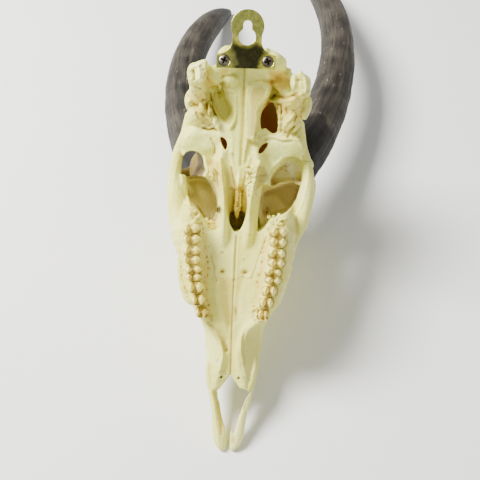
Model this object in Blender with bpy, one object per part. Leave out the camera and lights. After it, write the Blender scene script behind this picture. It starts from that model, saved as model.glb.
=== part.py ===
"""A bushbuck skull with its horns and its brass hanger, life size, palate up on its nose and horn tips.

The skull is worked out in its own frame, in millimetres: x to the animal's left, y from the nose
back to the neck, z from the palate up to the forehead. The empty called rest turns it over and
sets it down on the floor. All sizes that drive the shape stand at the top.
"""

import math

import bmesh
import bpy
import numpy as np
from mathutils import Euler, Matrix, Vector

MM = 0.001
GAP = 0.3
SIDES = (1, -1)

# How the skull lies: turned over, tail end up by this angle, then moved so that it rests on the floor.
REST_TILT = math.radians(37.521)
REST_ROLL = math.radians(-0.036)
REST_PLACE = (-4.34, -241.39, 3.51)

# Fineness of the clay that the bones are made of, and the triangles that are left of it.
CLAY = 1.15
BONE_TRIANGLES = 7400
SHARP_ANGLE = math.radians(40)

# The face, station by station along y: crest half width and height, palate height at the middle, widest
# half width and its height, upper half width and its height, roof half width, roof height.
FACE = (
    (36, 10.5, 2.0, 3.4, 14.4, 8.0, 13.4, 14.0, 9.0, 17.0),
    (45, 7.6, 0.6, 2.8, 15.2, 9.0, 14.4, 17.0, 9.0, 20.5),
    (54, 5.2, 0.0, 2.4, 15.8, 10.0, 14.8, 20.0, 9.5, 25.0),
    (64, 5.6, 0.0, 2.8, 17.0, 11.0, 15.0, 24.0, 11.0, 32.0),
    (72, 9.5, 0.0, 3.5, 18.3, 11.0, 15.6, 27.0, 12.0, 36.0),
    (79, 17.5, 0.0, 4.0, 21.0, 9.0, 16.8, 29.0, 12.5, 39.0),
    (90, 23.5, 0.0, 4.5, 28.0, 9.0, 19.5, 32.5, 13.0, 43.0),
    (105, 27.5, 0.0, 5.0, 32.8, 10.0, 23.0, 38.0, 14.0, 48.5),
    (120, 30.0, 0.0, 5.5, 36.0, 14.0, 27.0, 45.0, 16.0, 55.0),
    (132, 30.0, 1.0, 6.0, 38.5, 19.0, 31.5, 52.0, 19.0, 60.5),
    (143, 26.0, 5.0, 7.0, 41.0, 26.0, 37.5, 58.0, 23.0, 66.0),
    (156, 18.0, 11.0, 12.0, 38.0, 36.0, 40.5, 62.0, 26.0, 71.0),
    (169, 14.0, 13.0, 14.0, 31.0, 40.0, 36.5, 63.0, 27.0, 74.5),
    (184, 12.0, 14.0, 14.0, 28.0, 42.0, 28.0, 62.0, 22.0, 75.0),
)
# One premaxilla, along y: centre from the middle, centre height, half width, half height.
PREMAXILLA = (
    (0.5, 3.0, 3.6, 1.8, 2.0),
    (3, 4.1, 3.5, 3.0, 2.8),
    (8, 5.1, 3.6, 4.0, 3.3),
    (13, 5.7, 4.2, 4.1, 3.6),
    (17, 6.7, 4.8, 3.4, 4.0),
    (24, 8.2, 6.3, 2.8, 5.0),
    (31, 9.9, 8.3, 2.7, 6.0),
    (37, 11.4, 10.0, 2.6, 7.5),
    (42, 12.8, 11.5, 2.4, 8.6),
    (54, 14.4, 16.0, 2.0, 9.0),
    (70, 13.0, 27.5, 1.8, 6.0),
)
# The floor of the braincase in the middle, along y: half width, underside, top.
BASE = (
    (155, 1.4, 12.5, 23.0),
    (163, 2.6, 12.4, 25.0),
    (172, 4.6, 12.3, 26.0),
    (181, 6.6, 12.0, 26.0),
    (194, 9.6, 11.5, 26.0),
    (208, 9.6, 10.2, 24.0),
    (220, 13.5, 8.5, 20.0),
    (230, 14.5, 5.0, 14.0),
    (238, 13.5, 3.0, 9.0),
)
# One zygomatic arch, along y: centre from the middle, centre height, half width, half height.
ARCH = (
    (116, 31.5, 14.0, 4.6, 8.0),
    (128, 35.0, 17.0, 5.4, 8.0),
    (140, 38.0, 21.0, 5.8, 7.4),
    (154, 40.6, 25.5, 5.2, 6.4),
    (167, 42.0, 28.8, 4.0, 5.6),
    (179, 40.4, 28.5, 3.4, 4.8),
    (190, 36.0, 25.5, 3.9, 4.8),
    (203, 32.0, 24.0, 5.0, 5.6),
)
ORBIT_CENTRE = (40.0, 148.5, 45.5)
ORBIT_RIM = (17.6, 17.0)
ORBIT_RIM_THICK = (2.6, 3.2)
ORBIT_TURN = math.radians(14)
BRAINCASE_CENTRE = (0.0, 195.0, 43.0)
BRAINCASE_RADII = (33.0, 41.0, 31.0)
BRAIN_CENTRE = (0.0, 199.0, 41.0)
BRAIN_RADII = (22.5, 27.5, 21.0)
CONDYLE_CENTRE = (12.5, 234.0, 8.5)
CONDYLE_RADII = (9.5, 9.5, 12.5)
CONDYLE_OUT = {1: 0.0, -1: 2.0}
BACK_LEAN = -2.4
BASE_SHEAR = 0.05

# The notch between the two front bones of the palate, seen from below.
FRONT_NOTCH = ((-8.8, 33.0), (0, 45.8), (8.8, 33.0), (7.2, 28), (-7.2, 28))

# Half of the notch in the rear edge of the palate, from the middle.
THROAT_NOTCH = (
    (0, 129.3),
    (2.6, 130.4),
    (4.6, 133.6),
    (5.6, 140),
    (5.3, 150),
    (4.0, 160),
    (2.4, 168),
    (0.6, 173),
)

# Cheek teeth, front to back: name, y of the front and the back, middle from the midline, half width, lobes,
# and how much of the crown is left.
TEETH = (
    ("p2", 79.0, 85.8, 18.1, 3.5, 1, 0.5),
    ("p3", 86.2, 92.9, 19.9, 4.1, 1, 0.92),
    ("p4", 93.3, 100.1, 21.5, 4.6, 1, 1.0),
    ("m1", 100.5, 110.0, 23.2, 5.2, 2, 0.95),
    ("m2", 110.4, 121.7, 24.8, 5.5, 2, 1.0),
    ("m3", 122.1, 134.6, 25.3, 5.5, 2, 1.0),
)
CROWN_TOP = -7.6
CUSP_TIP = -10.4
CROWN_ROOT = 1.4

# Horns: where the base stands on the forehead, and the way the middle line runs at four even stations,
# as the angle up from the palate's plane and the angle out from the middle.
HORN_BASE = (23.0, 169.0, 73.0)
HORN_RISE = (44.4, 38.7, 48.9, 66.1)
HORN_SPREAD = (29.3, 9.8, -9.1, -14.7)
HORN_LENGTHS = {1: 255.0, -1: 315.0}
HORN_LEANS = {1: 1.0, -1: -0.961}
HORN_BENDS = {1: (-0.5, -0.2, 0.6, 0.5), -1: (0.7, 0.0, -0.8, -1.0)}
HORN_RADII = (
    (0.0, 17.6),
    (0.08, 16.6),
    (0.2, 15.0),
    (0.35, 13.7),
    (0.5, 12.5),
    (0.7, 11.7),
    (0.8, 10.7),
    (0.88, 8.8),
    (0.95, 6.3),
    (1.0, 3.9),
)
HORN_KEEL = 0.12
# The stump under each horn: rows of how far below the horn, and radius.
PEDICLE = ((18, 17.5), (9, 16.6), (GAP, 16.2))
HORN_TWIST = math.radians(200)
HORN_RINGS = 24
HORN_SIDES = 16

# Brass hanger plate and its screws.
PLATE_THICK = 1.4
PLATE_HALF = 17.5
PLATE_X = -2.6
PLATE_Y = 227.0
PLATE_Z = -5.6
PLATE_TURN = math.radians(0.6)
PLATE_REACH = 34.6
PLATE_EAR = 8.1
PLATE_CURVE = 8.5
PLATE_NECK = 8.6
PLATE_HEAD_R = 9.9
KEYHOLE_Y = 18.6
KEYHOLE_R = 5.1
SLOT_R = 2.6
SLOT_TOP = 28.2
SCREW_X = 12.9
SCREW_Y = 4.3
SCREW_HEAD_R = 3.3
SCREW_LENGTH = 13.0

# Thin bars and plates: rows of (from the middle, y, z, half width, half height), mirrored to both sides.
POST_ORBITAL = (
    (42.5, 165.5, 29, 2.4, 3.4),
    (42.5, 167, 42, 2.3, 3.6),
    (40, 168, 54, 3, 4.4),
    (36, 170, 62, 4, 5),
)
PTERYGOID = (
    (7.6, 130, 3.6, 2.8, 3.0),
    (7.6, 141, 5.5, 2.0, 6.0),
    (8.6, 153, 8.5, 1.6, 8.0),
    (10.6, 165, 12, 1.7, 7.5),
    (12.2, 173, 16, 2.5, 6.0),
)
PARACONDYLAR_OUT = {1: 0.0, -1: 2.0}
PARACONDYLAR = (
    (26, 214, 20, 7, 9),
    (28, 217, 10, 6.0, 8.8),
    (29.2, 220.5, 1, 5.2, 7.6),
    (29.6, 222.2, -5, 4.8, 6.6),
    (29.6, 222.4, -8.5, 4.0, 5.4),
)
NUCHAL_CREST = (
    (33, 212, 35, 4.2, 5),
    (28, 219, 47, 4.5, 5),
    (16, 226, 55, 4.5, 5),
    (-3, 228, 57.5, 4.5, 5),
)
# The tube of the outer ear, the way out of the brain room, and the plate that divides the rear of the nose:
# rows of (from the middle, y, z, half width, half height).
EAR_TUBE = ((24, 203, 20, 4, 5), (34, 206, 24, 3.6, 4.4))
MAGNUM_PATH = ((0, 216, 26, 8.8, 7.5), (0, 229, 19, 8.8, 7.5), (0, 255, 12, 8.8, 7.5))
VOMER = (
    (0, 168, 15, 1.8, 2.5),
    (0, 156, 13, 2.0, 3.5),
    (0, 146, 11.5, 2.0, 5),
    (0, 137, 11, 1.7, 6),
    (0, 129, 13, 1.1, 6),
    (0, 118, 13, 1.0, 6),
    (0, 98, 8, 1.0, 4),
)
BASILAR_PLATE = (
    (3.2, 222.4),
    (7.4, 222.8),
    (15.7, 221.4),
    (14.8, 216.2),
    (12.9, 212.6),
    (9.3, 206.5),
    (8.6, 193.0),
    (7.7, 187.0),
    (3.2, 188.0),
    (2.2, 199.0),
    (1.3, 203.0),
    (1.5, 218.7),
)
EAR_HOLE = (
    (16.5, 213.0),
    (11.8, 209.0),
    (9.8, 204.0),
    (9.3, 199.5),
    (10.0, 193.5),
    (13.5, 194.0),
    (17.5, 191.5),
    (20.0, 194.0),
    (20.8, 203.0),
    (18.6, 210.0),
)
# The pit behind the eye: rows of (from the middle, y, z, radius across, radius along) for each side.
TEMPLE_ROOM = {
    1: (
        (31, 171.8, 16, 7.5, 8.0),
        (31, 171.2, 32, 7.6, 7.5),
        (34, 172, 46, 9.0, 8.5),
        (41, 175, 57, 11.0, 10.0),
        (52, 180, 68, 13.0, 12.0),
    ),
    -1: (
        (32, 172.8, 16, 7.8, 8.2),
        (32.5, 172.8, 30, 8.0, 8.2),
        (37, 174.5, 41, 8.5, 8.5),
        (47, 177, 49, 9.5, 9.5),
        (60, 180, 56, 11.0, 11.0),
    ),
}
# The thin bar along the back of the orbit, in the same kind of rows, mirrored to both sides.
ORBIT_BACK = ((38.5, 163.0, 32, 1.3, 3.0), (31.5, 165.4, 39, 1.2, 4.0), (24.0, 165.0, 46, 1.3, 4.5))

# Outlines of the separate bones, seen from the side as (y, z), or from above as (x, y).
PREMAXILLA_AREA = ((-6, -9), (30.5, -9), (34, 3.2), (44, 8), (58, 18.5), (74, 33.5), (60, 40), (-6, 40))
NASAL_FLOOR = (-6.0, 0.42)
NASAL_AREA = ((40, 10.5), (60, 11.0), (80, 11.5), (105, 12.5), (118, 11.5), (126, 4.5), (128, 0))
FRONTAL_AREA = (
    (112, 50.5),
    (126, 51.5),
    (131, 47.5),
    (150, 45.0),
    (166, 46.5),
    (174, 44.0),
    (182, 50.0),
    (192, 66.0),
    (198, 92.0),
    (112, 92.0),
)
CHEEK_AREA = (
    (112, 3),
    (122, -2),
    (140, 8),
    (160, 14),
    (176, 22),
    (179, 34),
    (174, 44),
    (166, 46.5),
    (150, 45),
    (131, 47.5),
    (118, 28),
)
CRANIUM_AREA = ((160, -12), (262, -12), (262, 92), (180, 92), (150, 47), (172, 36), (168, 20))


def clear_scene():
    for obj in list(bpy.data.objects):
        bpy.data.objects.remove(obj)


def material(name, colour, roughness, metallic=0.0):
    mat = bpy.data.materials.new(name)
    mat.use_nodes = True
    shader = mat.node_tree.nodes["Principled BSDF"]
    shader.inputs["Base Color"].default_value = (*colour, 1.0)
    shader.inputs["Roughness"].default_value = roughness
    shader.inputs["Metallic"].default_value = metallic
    mat.diffuse_color = (*colour, 1.0)
    return mat


def object_from(name, bm):
    """A new object that holds this bmesh, with its faces pointing out."""
    bmesh.ops.recalc_face_normals(bm, faces=bm.faces)
    mesh = bpy.data.meshes.new(name)
    bm.to_mesh(mesh)
    bm.free()
    obj = bpy.data.objects.new(name, mesh)
    bpy.context.scene.collection.objects.link(obj)
    return obj


def curve_through(points, count, closed=False):
    """Evenly counted points on a smooth curve through the given rows of numbers."""
    rows = np.array(points, float)
    if closed:
        padded = np.vstack([rows[-1:], rows, rows[:2]])
        spans = len(rows)
        places = np.arange(count) / count * spans
    else:
        padded = np.vstack([2 * rows[0] - rows[1], rows, 2 * rows[-1] - rows[-2]])
        spans = len(rows) - 1
        places = np.linspace(0, spans, count)
    span = np.minimum(places.astype(int), spans - 1)
    t = (places - span)[:, None]
    a, b, c, d = (padded[span + k] for k in range(4))
    return 0.5 * (2 * b + (c - a) * t + (2 * a - 5 * b + 4 * c - d) * t**2 + (3 * b - a - 3 * c + d) * t**3)


def loft(name, rings):
    """A closed skin over rings of equally many points, in millimetres, with flat ends."""
    bm = bmesh.new()
    loops = [[bm.verts.new(Vector(p) * MM) for p in ring] for ring in rings]
    for a, b in zip(loops, loops[1:]):
        for i in range(len(a)):
            j = (i + 1) % len(a)
            bm.faces.new((a[i], a[j], b[j], b[i]))
    bm.faces.new(list(reversed(loops[0])))
    bm.faces.new(loops[-1])
    return object_from(name, bm)


def tube(name, path, wide=(1, 0, 0), sides=14, count=24):
    """A tube along rows of (x, y, z, half width, half height), its width lying along wide."""
    rows = curve_through(path, count)
    centres, widths, heights = rows[:, :3], rows[:, 3], rows[:, 4]
    runs = np.gradient(centres, axis=0)
    rings = []
    for centre, run, width, height in zip(centres, runs, widths, heights):
        run = Vector(run).normalized()
        across = Vector(wide) - run * run.dot(Vector(wide))
        across.normalize()
        up = run.cross(across)
        turns = [2 * math.pi * k / sides for k in range(sides)]
        offsets = [across * (width * math.cos(a)) + up * (height * math.sin(a)) for a in turns]
        rings.append([Vector(centre) + offset for offset in offsets])
    return loft(name, rings)


def along_y(name, stations, side, sides=16):
    """A tube along y from rows of (y, x, z, half width, half height), on one side of the skull."""
    rows = curve_through(stations, 3 * len(stations))
    turns = [2 * math.pi * k / sides for k in range(sides)]
    rings = []
    for y, x, z, wide, high in rows:
        rings.append([(side * (x + wide * math.cos(a)), y, z + high * math.sin(a)) for a in turns])
    return loft(name, rings)


def ball(name, centre, radii, turn=(0, 0, 0), rings=16):
    bm = bmesh.new()
    bmesh.ops.create_uvsphere(bm, u_segments=2 * rings, v_segments=rings, radius=1)
    size = Matrix.Diagonal((*[r * MM for r in radii], 1))
    turned = Euler([math.radians(a) for a in turn]).to_matrix().to_4x4()
    bm.transform(Matrix.Translation(Vector(centre) * MM) @ turned @ size)
    return object_from(name, bm)


def prism(name, outline, low, high):
    """A block with this (x, y) outline, from z low to z high."""
    return loft(name, [[(x, y, z) for x, y in outline] for z in (low, high)])


def box(name, low, high):
    (x0, y0, z0), (x1, y1, z1) = low, high
    return prism(name, [(x0, y0), (x1, y0), (x1, y1), (x0, y1)], z0, z1)


def baked(obj):
    """The object with its modifiers worked into its mesh."""
    graph = bpy.context.evaluated_depsgraph_get()
    graph.update()
    mesh = bpy.data.meshes.new_from_object(obj.evaluated_get(graph))
    obj.modifiers.clear()
    obj.data = mesh
    return obj


def remove(objects):
    for obj in objects:
        bpy.data.objects.remove(obj)


def fused(name, pieces, clay=CLAY, rounds=4):
    """One body from pieces that run into one another, like clay, smoothed this many rounds."""
    bm = bmesh.new()
    for piece in pieces:
        bm.from_mesh(piece.data)
    obj = object_from(name, bm)
    remove(pieces)
    remesh = obj.modifiers.new("clay", "REMESH")
    remesh.mode = "VOXEL"
    remesh.voxel_size = clay * MM
    if rounds:
        smooth = obj.modifiers.new("smooth", "SMOOTH")
        smooth.factor = 0.5
        smooth.iterations = rounds
    return baked(obj)


def cut(obj, cutters, solver="EXACT", operation="DIFFERENCE"):
    """Cuts these bodies out of the object, or joins them to it, and removes them."""
    group = bpy.data.collections.new("cutters")
    bpy.context.scene.collection.children.link(group)
    for cutter in cutters:
        bpy.context.scene.collection.objects.unlink(cutter)
        group.objects.link(cutter)
    boolean = obj.modifiers.new("cut", "BOOLEAN")
    boolean.operation = operation
    boolean.solver = solver
    boolean.operand_type = "COLLECTION"
    boolean.collection = group
    baked(obj)
    remove(cutters)
    bpy.data.collections.remove(group)
    return obj


def thinned(obj, triangles):
    obj.data.update()
    count = sum(len(p.vertices) - 2 for p in obj.data.polygons)
    decimate = obj.modifiers.new("thin", "DECIMATE")
    decimate.ratio = min(1.0, triangles / count)
    decimate.use_collapse_triangulate = True
    return baked(obj)


def loose_parts(obj):
    """The separate bodies of an object, biggest first, each as a new object."""
    bm = bmesh.new()
    bm.from_mesh(obj.data)
    bm.verts.ensure_lookup_table()
    left = set(range(len(bm.verts)))
    groups = []
    while left:
        seen = {left.pop()}
        edge = list(seen)
        while edge:
            v = bm.verts[edge.pop()]
            for e in v.link_edges:
                other = e.other_vert(v).index
                if other in left:
                    left.discard(other)
                    seen.add(other)
                    edge.append(other)
        groups.append(seen)
    parts = []
    for seen in sorted(groups, key=len, reverse=True):
        part = bm.copy()
        part.verts.ensure_lookup_table()
        gone = [v for v in part.verts if v.index not in seen]
        bmesh.ops.delete(part, geom=gone, context="VERTS")
        parts.append(object_from("part", part))
    bm.free()
    remove([obj])
    return parts


def face_ring(row):
    """One cross-section of the face, all the way round, from a row of FACE."""
    y, crest, crest_z, vault_z, wide, wide_z, upper, upper_z, roof, roof_z = row
    half = [
        (crest * 0.55, vault_z - 0.2),
        (crest, crest_z),
        (wide, wide_z),
        ((wide + upper) / 2, (wide_z + upper_z) / 2),
        (upper, upper_z),
        (roof, roof_z - 1.2),
    ]
    outline = [(0, vault_z)] + half + [(0, roof_z)] + [(-x, z) for x, z in reversed(half)]
    smooth = curve_through(outline, 48, closed=True)
    return [(x, y, z) for x, z in smooth]


def face_block():
    rows = curve_through(FACE, 4 * len(FACE))
    return loft("face", [face_ring(row) for row in rows])


def base_block():
    rings = []
    for y, half, low, high in curve_through(BASE, 24):
        turns = [2 * math.pi * k / 20 for k in range(20)]
        middle, rise = (low + high) / 2, (high - low) / 2
        rings.append([(half * 1.15 * math.cos(a), y, middle + rise * math.sin(a)) for a in turns])
    return loft("base", rings)


def main_masses():
    """The large forms, which melt into one another."""
    pieces = [face_block(), base_block(), ball("braincase", BRAINCASE_CENTRE, BRAINCASE_RADII)]
    pieces.append(ball("occiput", (0, 224, 38), (30, 12, 22)))
    for s in SIDES:
        pieces += [
            ball("glenoid", (s * 25, 186, 19.5), (15, 9.5, 8.5)),
            ball("mastoid", (s * 27, 214, 27), (10, 13, 17)),
            ball("tympanic", (s * 25, 203, 20), (9, 9, 8)),
            ball("tuber", (s * 27, 139, 10), (7.5, 9, 9.5)),
            ball("pedicle_root", (s * 21, 172, 61), (16, 18, 12.5)),
        ]
    return fused("masses", pieces, rounds=7)


def openings():
    """What is cut out of the large forms: orbits, temporal pits, nose and brain rooms."""
    cutters = [
        nose_room(),
        ball("brain_room", BRAIN_CENTRE, BRAIN_RADII),
        tube("magnum", MAGNUM_PATH),
    ]
    for s in SIDES:
        cutters += [orbit_room(s), under_orbit_room(s), temple_room(s)]
    return cutters


def nose_room():
    """The nasal cavity, open above at the front and below at the back."""
    rows = curve_through(
        (
            (30, 9.0, 5.0, 30.0),
            (44, 11.0, 5.5, 34.0),
            (56, 11.5, 5.5, 40.0),
            (66, 12.5, 6.0, 33.0),
            (80, 13.5, 7.0, 36.0),
            (110, 15.5, 8.5, 44.0),
            (135, 13.5, 10.0, 46.0),
            (150, 9.0, 13.0, 36.0),
            (156, 6.5, 16.0, 28.0),
        ),
        30,
    )
    rings = []
    for y, half, low, high in rows:
        turns = [2 * math.pi * k / 24 for k in range(24)]
        middle, rise = (low + high) / 2, (high - low) / 2
        rings.append(
            [(half * squared(math.cos(a)), y, middle + rise * squared(math.sin(a))) for a in turns]
        )
    return loft("nose_room", rings)


def squared(value, power=0.7):
    """Pushes a sine or cosine outwards, so that an ellipse becomes a rounded box."""
    return math.copysign(abs(value) ** power, value)


def orbit_room(s):
    """The eye's socket: a cone with a round end, opening to the side and a little forwards."""
    depth_rows = ((-26, 6), (-20, 12), (-12, 15.2), (-2, 17.0), (6, 17.4), (16, 18.5))
    rings = []
    for depth, radius in curve_through(depth_rows, 16):
        ring = []
        for k in range(24):
            a = 2 * math.pi * k / 24
            local = Vector((depth, radius * 1.03 * math.cos(a), radius * math.sin(a)))
            local.rotate(Euler((0, 0, -ORBIT_TURN)))
            x, y, z = Vector(ORBIT_CENTRE) + local
            ring.append((s * x, y, z))
        rings.append(ring)
    return loft("orbit_room", rings)


def under_orbit_room(s):
    """The gap below the eye, between the cheek and the wall beside the throat."""
    outline = (
        (12.0, 131.5),
        (17.0, 132.5),
        (21.0, 140.0),
        (26.0, 147.0),
        (31.5, 152.0),
        (36.0, 159.0),
        (38.0, 168.0),
        (36.5, 176.5),
        (28.0, 178.5),
        (20.0, 174.0),
        (14.5, 165.0),
        (12.0, 152.0),
        (11.0, 138.0),
    )
    middle = np.mean(outline, axis=0)
    rings = []
    for z, grow, lean in ((-14, 1.0, 0.0), (6, 1.0, 0.0), (24, 1.0, 3.0), (38, 0.95, 5.2), (46, 0.8, 6.0)):
        ring = (curve_through(outline, 32, closed=True) - middle) * grow + middle
        rings.append([(s * (x + lean * (38 - x) / 26), y, z) for x, y in ring])
    return loft("under_orbit_room", rings)


def temple_room(s):
    """The pit behind the eye: open below and to the side, and right through on the left."""
    rows = [(s * x, *rest) for x, *rest in TEMPLE_ROOM[s]]
    return tube("temple_room", rows, count=16, sides=20)


def sided(rows, s):
    return [(s * row[0], *row[1:]) for row in rows]


def fine_bones():
    """Thin bars, rims, plates and knobs, added once the large forms are cut."""
    pieces = [ball("crest_knob", (0, 231, 58), (6, 4, 6)), tube("vomer", VOMER, sides=8)]
    pieces.append(prism("basilar_plate", sided(BASILAR_PLATE, -1), 8.0, 15.0))
    pieces.append(ball("basilar_knob", (9.0, 222.0, 9.5), (5.2, 3.6, 3.4)))
    pieces.append(ball("temple_shelf", (-36.5, 177, 60), (9, 8.5, 5)))
    for s in SIDES:
        out = PARACONDYLAR_OUT[s]
        condyle_x = s * (CONDYLE_CENTRE[0] + CONDYLE_OUT[s])
        pieces += [
            along_y("premaxilla", PREMAXILLA, s),
            along_y("arch", ARCH, s),
            orbit_rim(s),
            tube("post_orbital", sided(POST_ORBITAL, s)),
            tube("orbit_back", sided(ORBIT_BACK, s), wide=(0, 1, 0), sides=10),
            tube("pterygoid", sided(PTERYGOID, s)),
            tube("paracondylar", sided([(x + out, *row) for x, *row in PARACONDYLAR], s), count=12),
            tube("nuchal_crest", sided(NUCHAL_CREST, s), wide=(0, 1, 0)),
            tube("ear_tube", sided(EAR_TUBE, s), wide=(0, 1, 0), count=8),
            ball("ear_lump", (s * 29, 201, 16), (5.5, 6.5, 6.5)),
            ball("mastoid_knob", (s * 33.5, 210, 18), (4.2, 7.0, 8.0)),
            ball("condyle", (condyle_x, *CONDYLE_CENTRE[1:]), CONDYLE_RADII, (18, 0, s * -28)),
            pedicle(s),
        ]
    return pieces


def orbit_rim(s):
    """The raised ring round the eye's socket."""
    count, sides = 36, 10
    bm = bmesh.new()
    loops = []
    for k in range(count):
        a = 2 * math.pi * k / count
        loop = []
        for j in range(sides):
            b = 2 * math.pi * j / sides
            across, out = ORBIT_RIM_THICK[0] * math.cos(b), ORBIT_RIM_THICK[1] * math.sin(b)
            local = Vector((across, (ORBIT_RIM[0] + out) * math.cos(a), (ORBIT_RIM[1] + out) * math.sin(a)))
            local.rotate(Euler((0, math.radians(8), -ORBIT_TURN)))
            x, y, z = Vector(ORBIT_CENTRE) + local + Vector((0.4, 0, 0))
            loop.append(bm.verts.new(Vector((s * x, y, z)) * MM))
        loops.append(loop)
    for a, b in zip(loops, loops[1:] + loops[:1]):
        for i in range(sides):
            j = (i + 1) % sides
            bm.faces.new((a[i], a[j], b[j], b[i]))
    return object_from("orbit_rim", bm)


def horn_line(s, count=HORN_RINGS):
    """Points and directions along the middle of one horn."""
    t = (np.arange(240) + 0.5) / 240
    rise = np.radians(curve_through(np.array(HORN_RISE)[:, None], 240)[:, 0] + HORN_LEANS[s])
    outward = np.array(HORN_SPREAD) + HORN_BENDS[s]
    spread = np.radians(curve_through(outward[:, None], 240)[:, 0])
    ahead = np.cos(spread)
    steps = np.stack([s * np.sin(spread), ahead * np.cos(rise), ahead * np.sin(rise)], axis=1)
    base = np.array([s * HORN_BASE[0], HORN_BASE[1], HORN_BASE[2]])
    points = base + np.vstack([[0, 0, 0], np.cumsum(steps, axis=0) * HORN_LENGTHS[s] / len(t)])
    places = np.linspace(0, len(t), count)
    low = np.minimum(places.astype(int), len(t) - 1)
    part = (places - low)[:, None]
    return points[low] * (1 - part) + points[low + 1] * part, steps[low]


def pedicle(s):
    """The bony stump that the horn stands on, just up to the horn's base."""
    points, runs = horn_line(s)
    start, run = Vector(points[0]), Vector(runs[0]).normalized()
    rows = [(*(start - run * back), radius, radius * 1.05) for back, radius in PEDICLE]
    return tube("pedicle", rows, count=8, sides=20)


def horn(s, grow=0.0):
    """One horn: a tapered, keeled tube that turns about its own middle line."""
    points, runs = horn_line(s)
    points[0] -= runs[0] * grow
    spots = np.linspace(0, 1, len(points))
    radii = np.interp(spots, *np.array(HORN_RADII).T) + grow
    rings = []
    for point, run, spot, radius in zip(points, runs, spots, radii):
        run = Vector(run).normalized()
        across = Vector((s, 0, 0)) - run * run.x * s
        across.normalize()
        up = run.cross(across) * s
        ring = []
        for k in range(HORN_SIDES):
            a = 2 * math.pi * k / HORN_SIDES
            keel = 1 + HORN_KEEL * max(0.0, math.cos(a - HORN_TWIST * spot + 1.2)) ** 6 * (1 - spot)
            ring.append(Vector(point) + (across * math.cos(a) + up * math.sin(a)) * (radius * keel))
        rings.append(ring)
    tip_point, tip_run, tip = Vector(points[-1]), Vector(runs[-1]).normalized(), radii[-1]
    last = list(rings[-1])
    for share in (0.5, 0.8):
        narrow = math.sqrt(1 - share**2)
        rings.append([tip_point + tip_run * tip * share + (p - tip_point) * narrow for p in last])
    name = "horn_left" if s > 0 else "horn_right"
    return loft(name, rings)


def teeth():
    """The twelve cheek teeth, and their sockets cut out of the bone."""
    made, sockets = [], []
    for s in SIDES:
        side_name = "left" if s > 0 else "right"
        for name, front, back, middle, half, lobes, left_over in TEETH:
            made.append(tooth(f"tooth_{name}_{side_name}", s, front, back, middle, half, lobes, left_over))
            outline = tooth_outline(s, front - GAP, back + GAP, middle, half + GAP, lobes)
            sockets.append(prism("socket", outline, CROWN_TOP, CROWN_ROOT + GAP))
    return made, sockets


def tooth_outline(s, front, back, middle, half, lobes, count=16):
    """The crown seen from below: one or two rounded lobes."""
    points = []
    length = back - front
    for k in range(count):
        a = 2 * math.pi * k / count
        y = (front + back) / 2 + length / 2 * squared(math.cos(a), 0.6)
        pinch = 1 - 0.16 * (lobes == 2) * math.exp(-((y - (front + back) / 2) ** 2) / 1.2)
        points.append((s * (middle + half * squared(math.sin(a), 0.6) * pinch), y))
    return points


def tooth(name, s, front, back, middle, half, lobes, left_over):
    """A crown with a cheek-side and a tongue-side cusp on each lobe, and a valley between."""
    rings = []
    outline = tooth_outline(s, front, back, middle, half, lobes)
    x0, y0 = s * middle, (front + back) / 2
    for z, grow in ((CROWN_ROOT, 0.86), (0, 0.96), (-4.5 * left_over, 1.0), (CROWN_TOP * left_over, 0.88)):
        rings.append([(x0 + (x - x0) * grow, y0 + (y - y0) * grow, z) for x, y in outline])
    crown = loft(name, rings)
    cusps, span = [], (back - front) / lobes
    for lobe in range(lobes):
        y = front + span * (lobe + 0.5)
        for side, tip in ((1, CUSP_TIP), (-1, CUSP_TIP + 1.0)):
            x = s * (middle + side * half * 0.48)
            cusps.append(cusp(x, y, span * 0.44, half * 0.44, tip * left_over, CROWN_TOP * left_over))
    return cut(crown, cusps, operation="UNION")


def cusp(x, y, long, wide, tip, top, sides=6):
    """A blunt six-sided peak that stands sunk in the crown."""
    rings = []
    for z, grow in ((top + 2.5, 1.0), (top - 0.2, 0.92), (tip, 0.16)):
        turns = [2 * math.pi * (k + 0.5) / sides for k in range(sides)]
        rings.append([(x + wide * grow * math.cos(a), y + long * grow * math.sin(a), z) for a in turns])
    return loft("cusp", rings)


def plate_outline():
    """The hanger seen from its face: a straight foot, a waist and a round head."""
    waist = PLATE_HALF - PLATE_NECK
    turns = [math.pi / 2 * k / 8 for k in range(1, 8)]
    right = [(PLATE_HALF, 0), (PLATE_HALF, PLATE_EAR)]
    for a in turns:
        right.append((PLATE_HALF - waist * math.sin(a), PLATE_EAR + PLATE_CURVE * (1 - math.cos(a))))
    head_y = PLATE_REACH - PLATE_HEAD_R
    head = []
    for k in range(17):
        a = math.radians(-28 + 236 * k / 16)
        head.append((PLATE_HEAD_R * math.cos(a), head_y + PLATE_HEAD_R * math.sin(a)))
    return right + head + [(-x, y) for x, y in reversed(right)]


def keyhole_outline():
    """A round hole with a narrow slot above it."""
    points = []
    neck = math.asin(SLOT_R / KEYHOLE_R)
    for k in range(21):
        a = math.pi / 2 + neck + (2 * math.pi - 2 * neck) * k / 20
        points.append((KEYHOLE_R * math.cos(a), KEYHOLE_Y + KEYHOLE_R * math.sin(a)))
    for k in range(9):
        a = math.pi * k / 8
        points.append((SLOT_R * math.cos(a), SLOT_TOP - SLOT_R + SLOT_R * math.sin(a)))
    return points


def on_plate(x, y):
    """Where a point of the hanger's own drawing lies on the skull."""
    cos, sin = math.cos(PLATE_TURN), math.sin(PLATE_TURN)
    return PLATE_X + x * cos - y * sin, PLATE_Y + x * sin + y * cos


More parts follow.
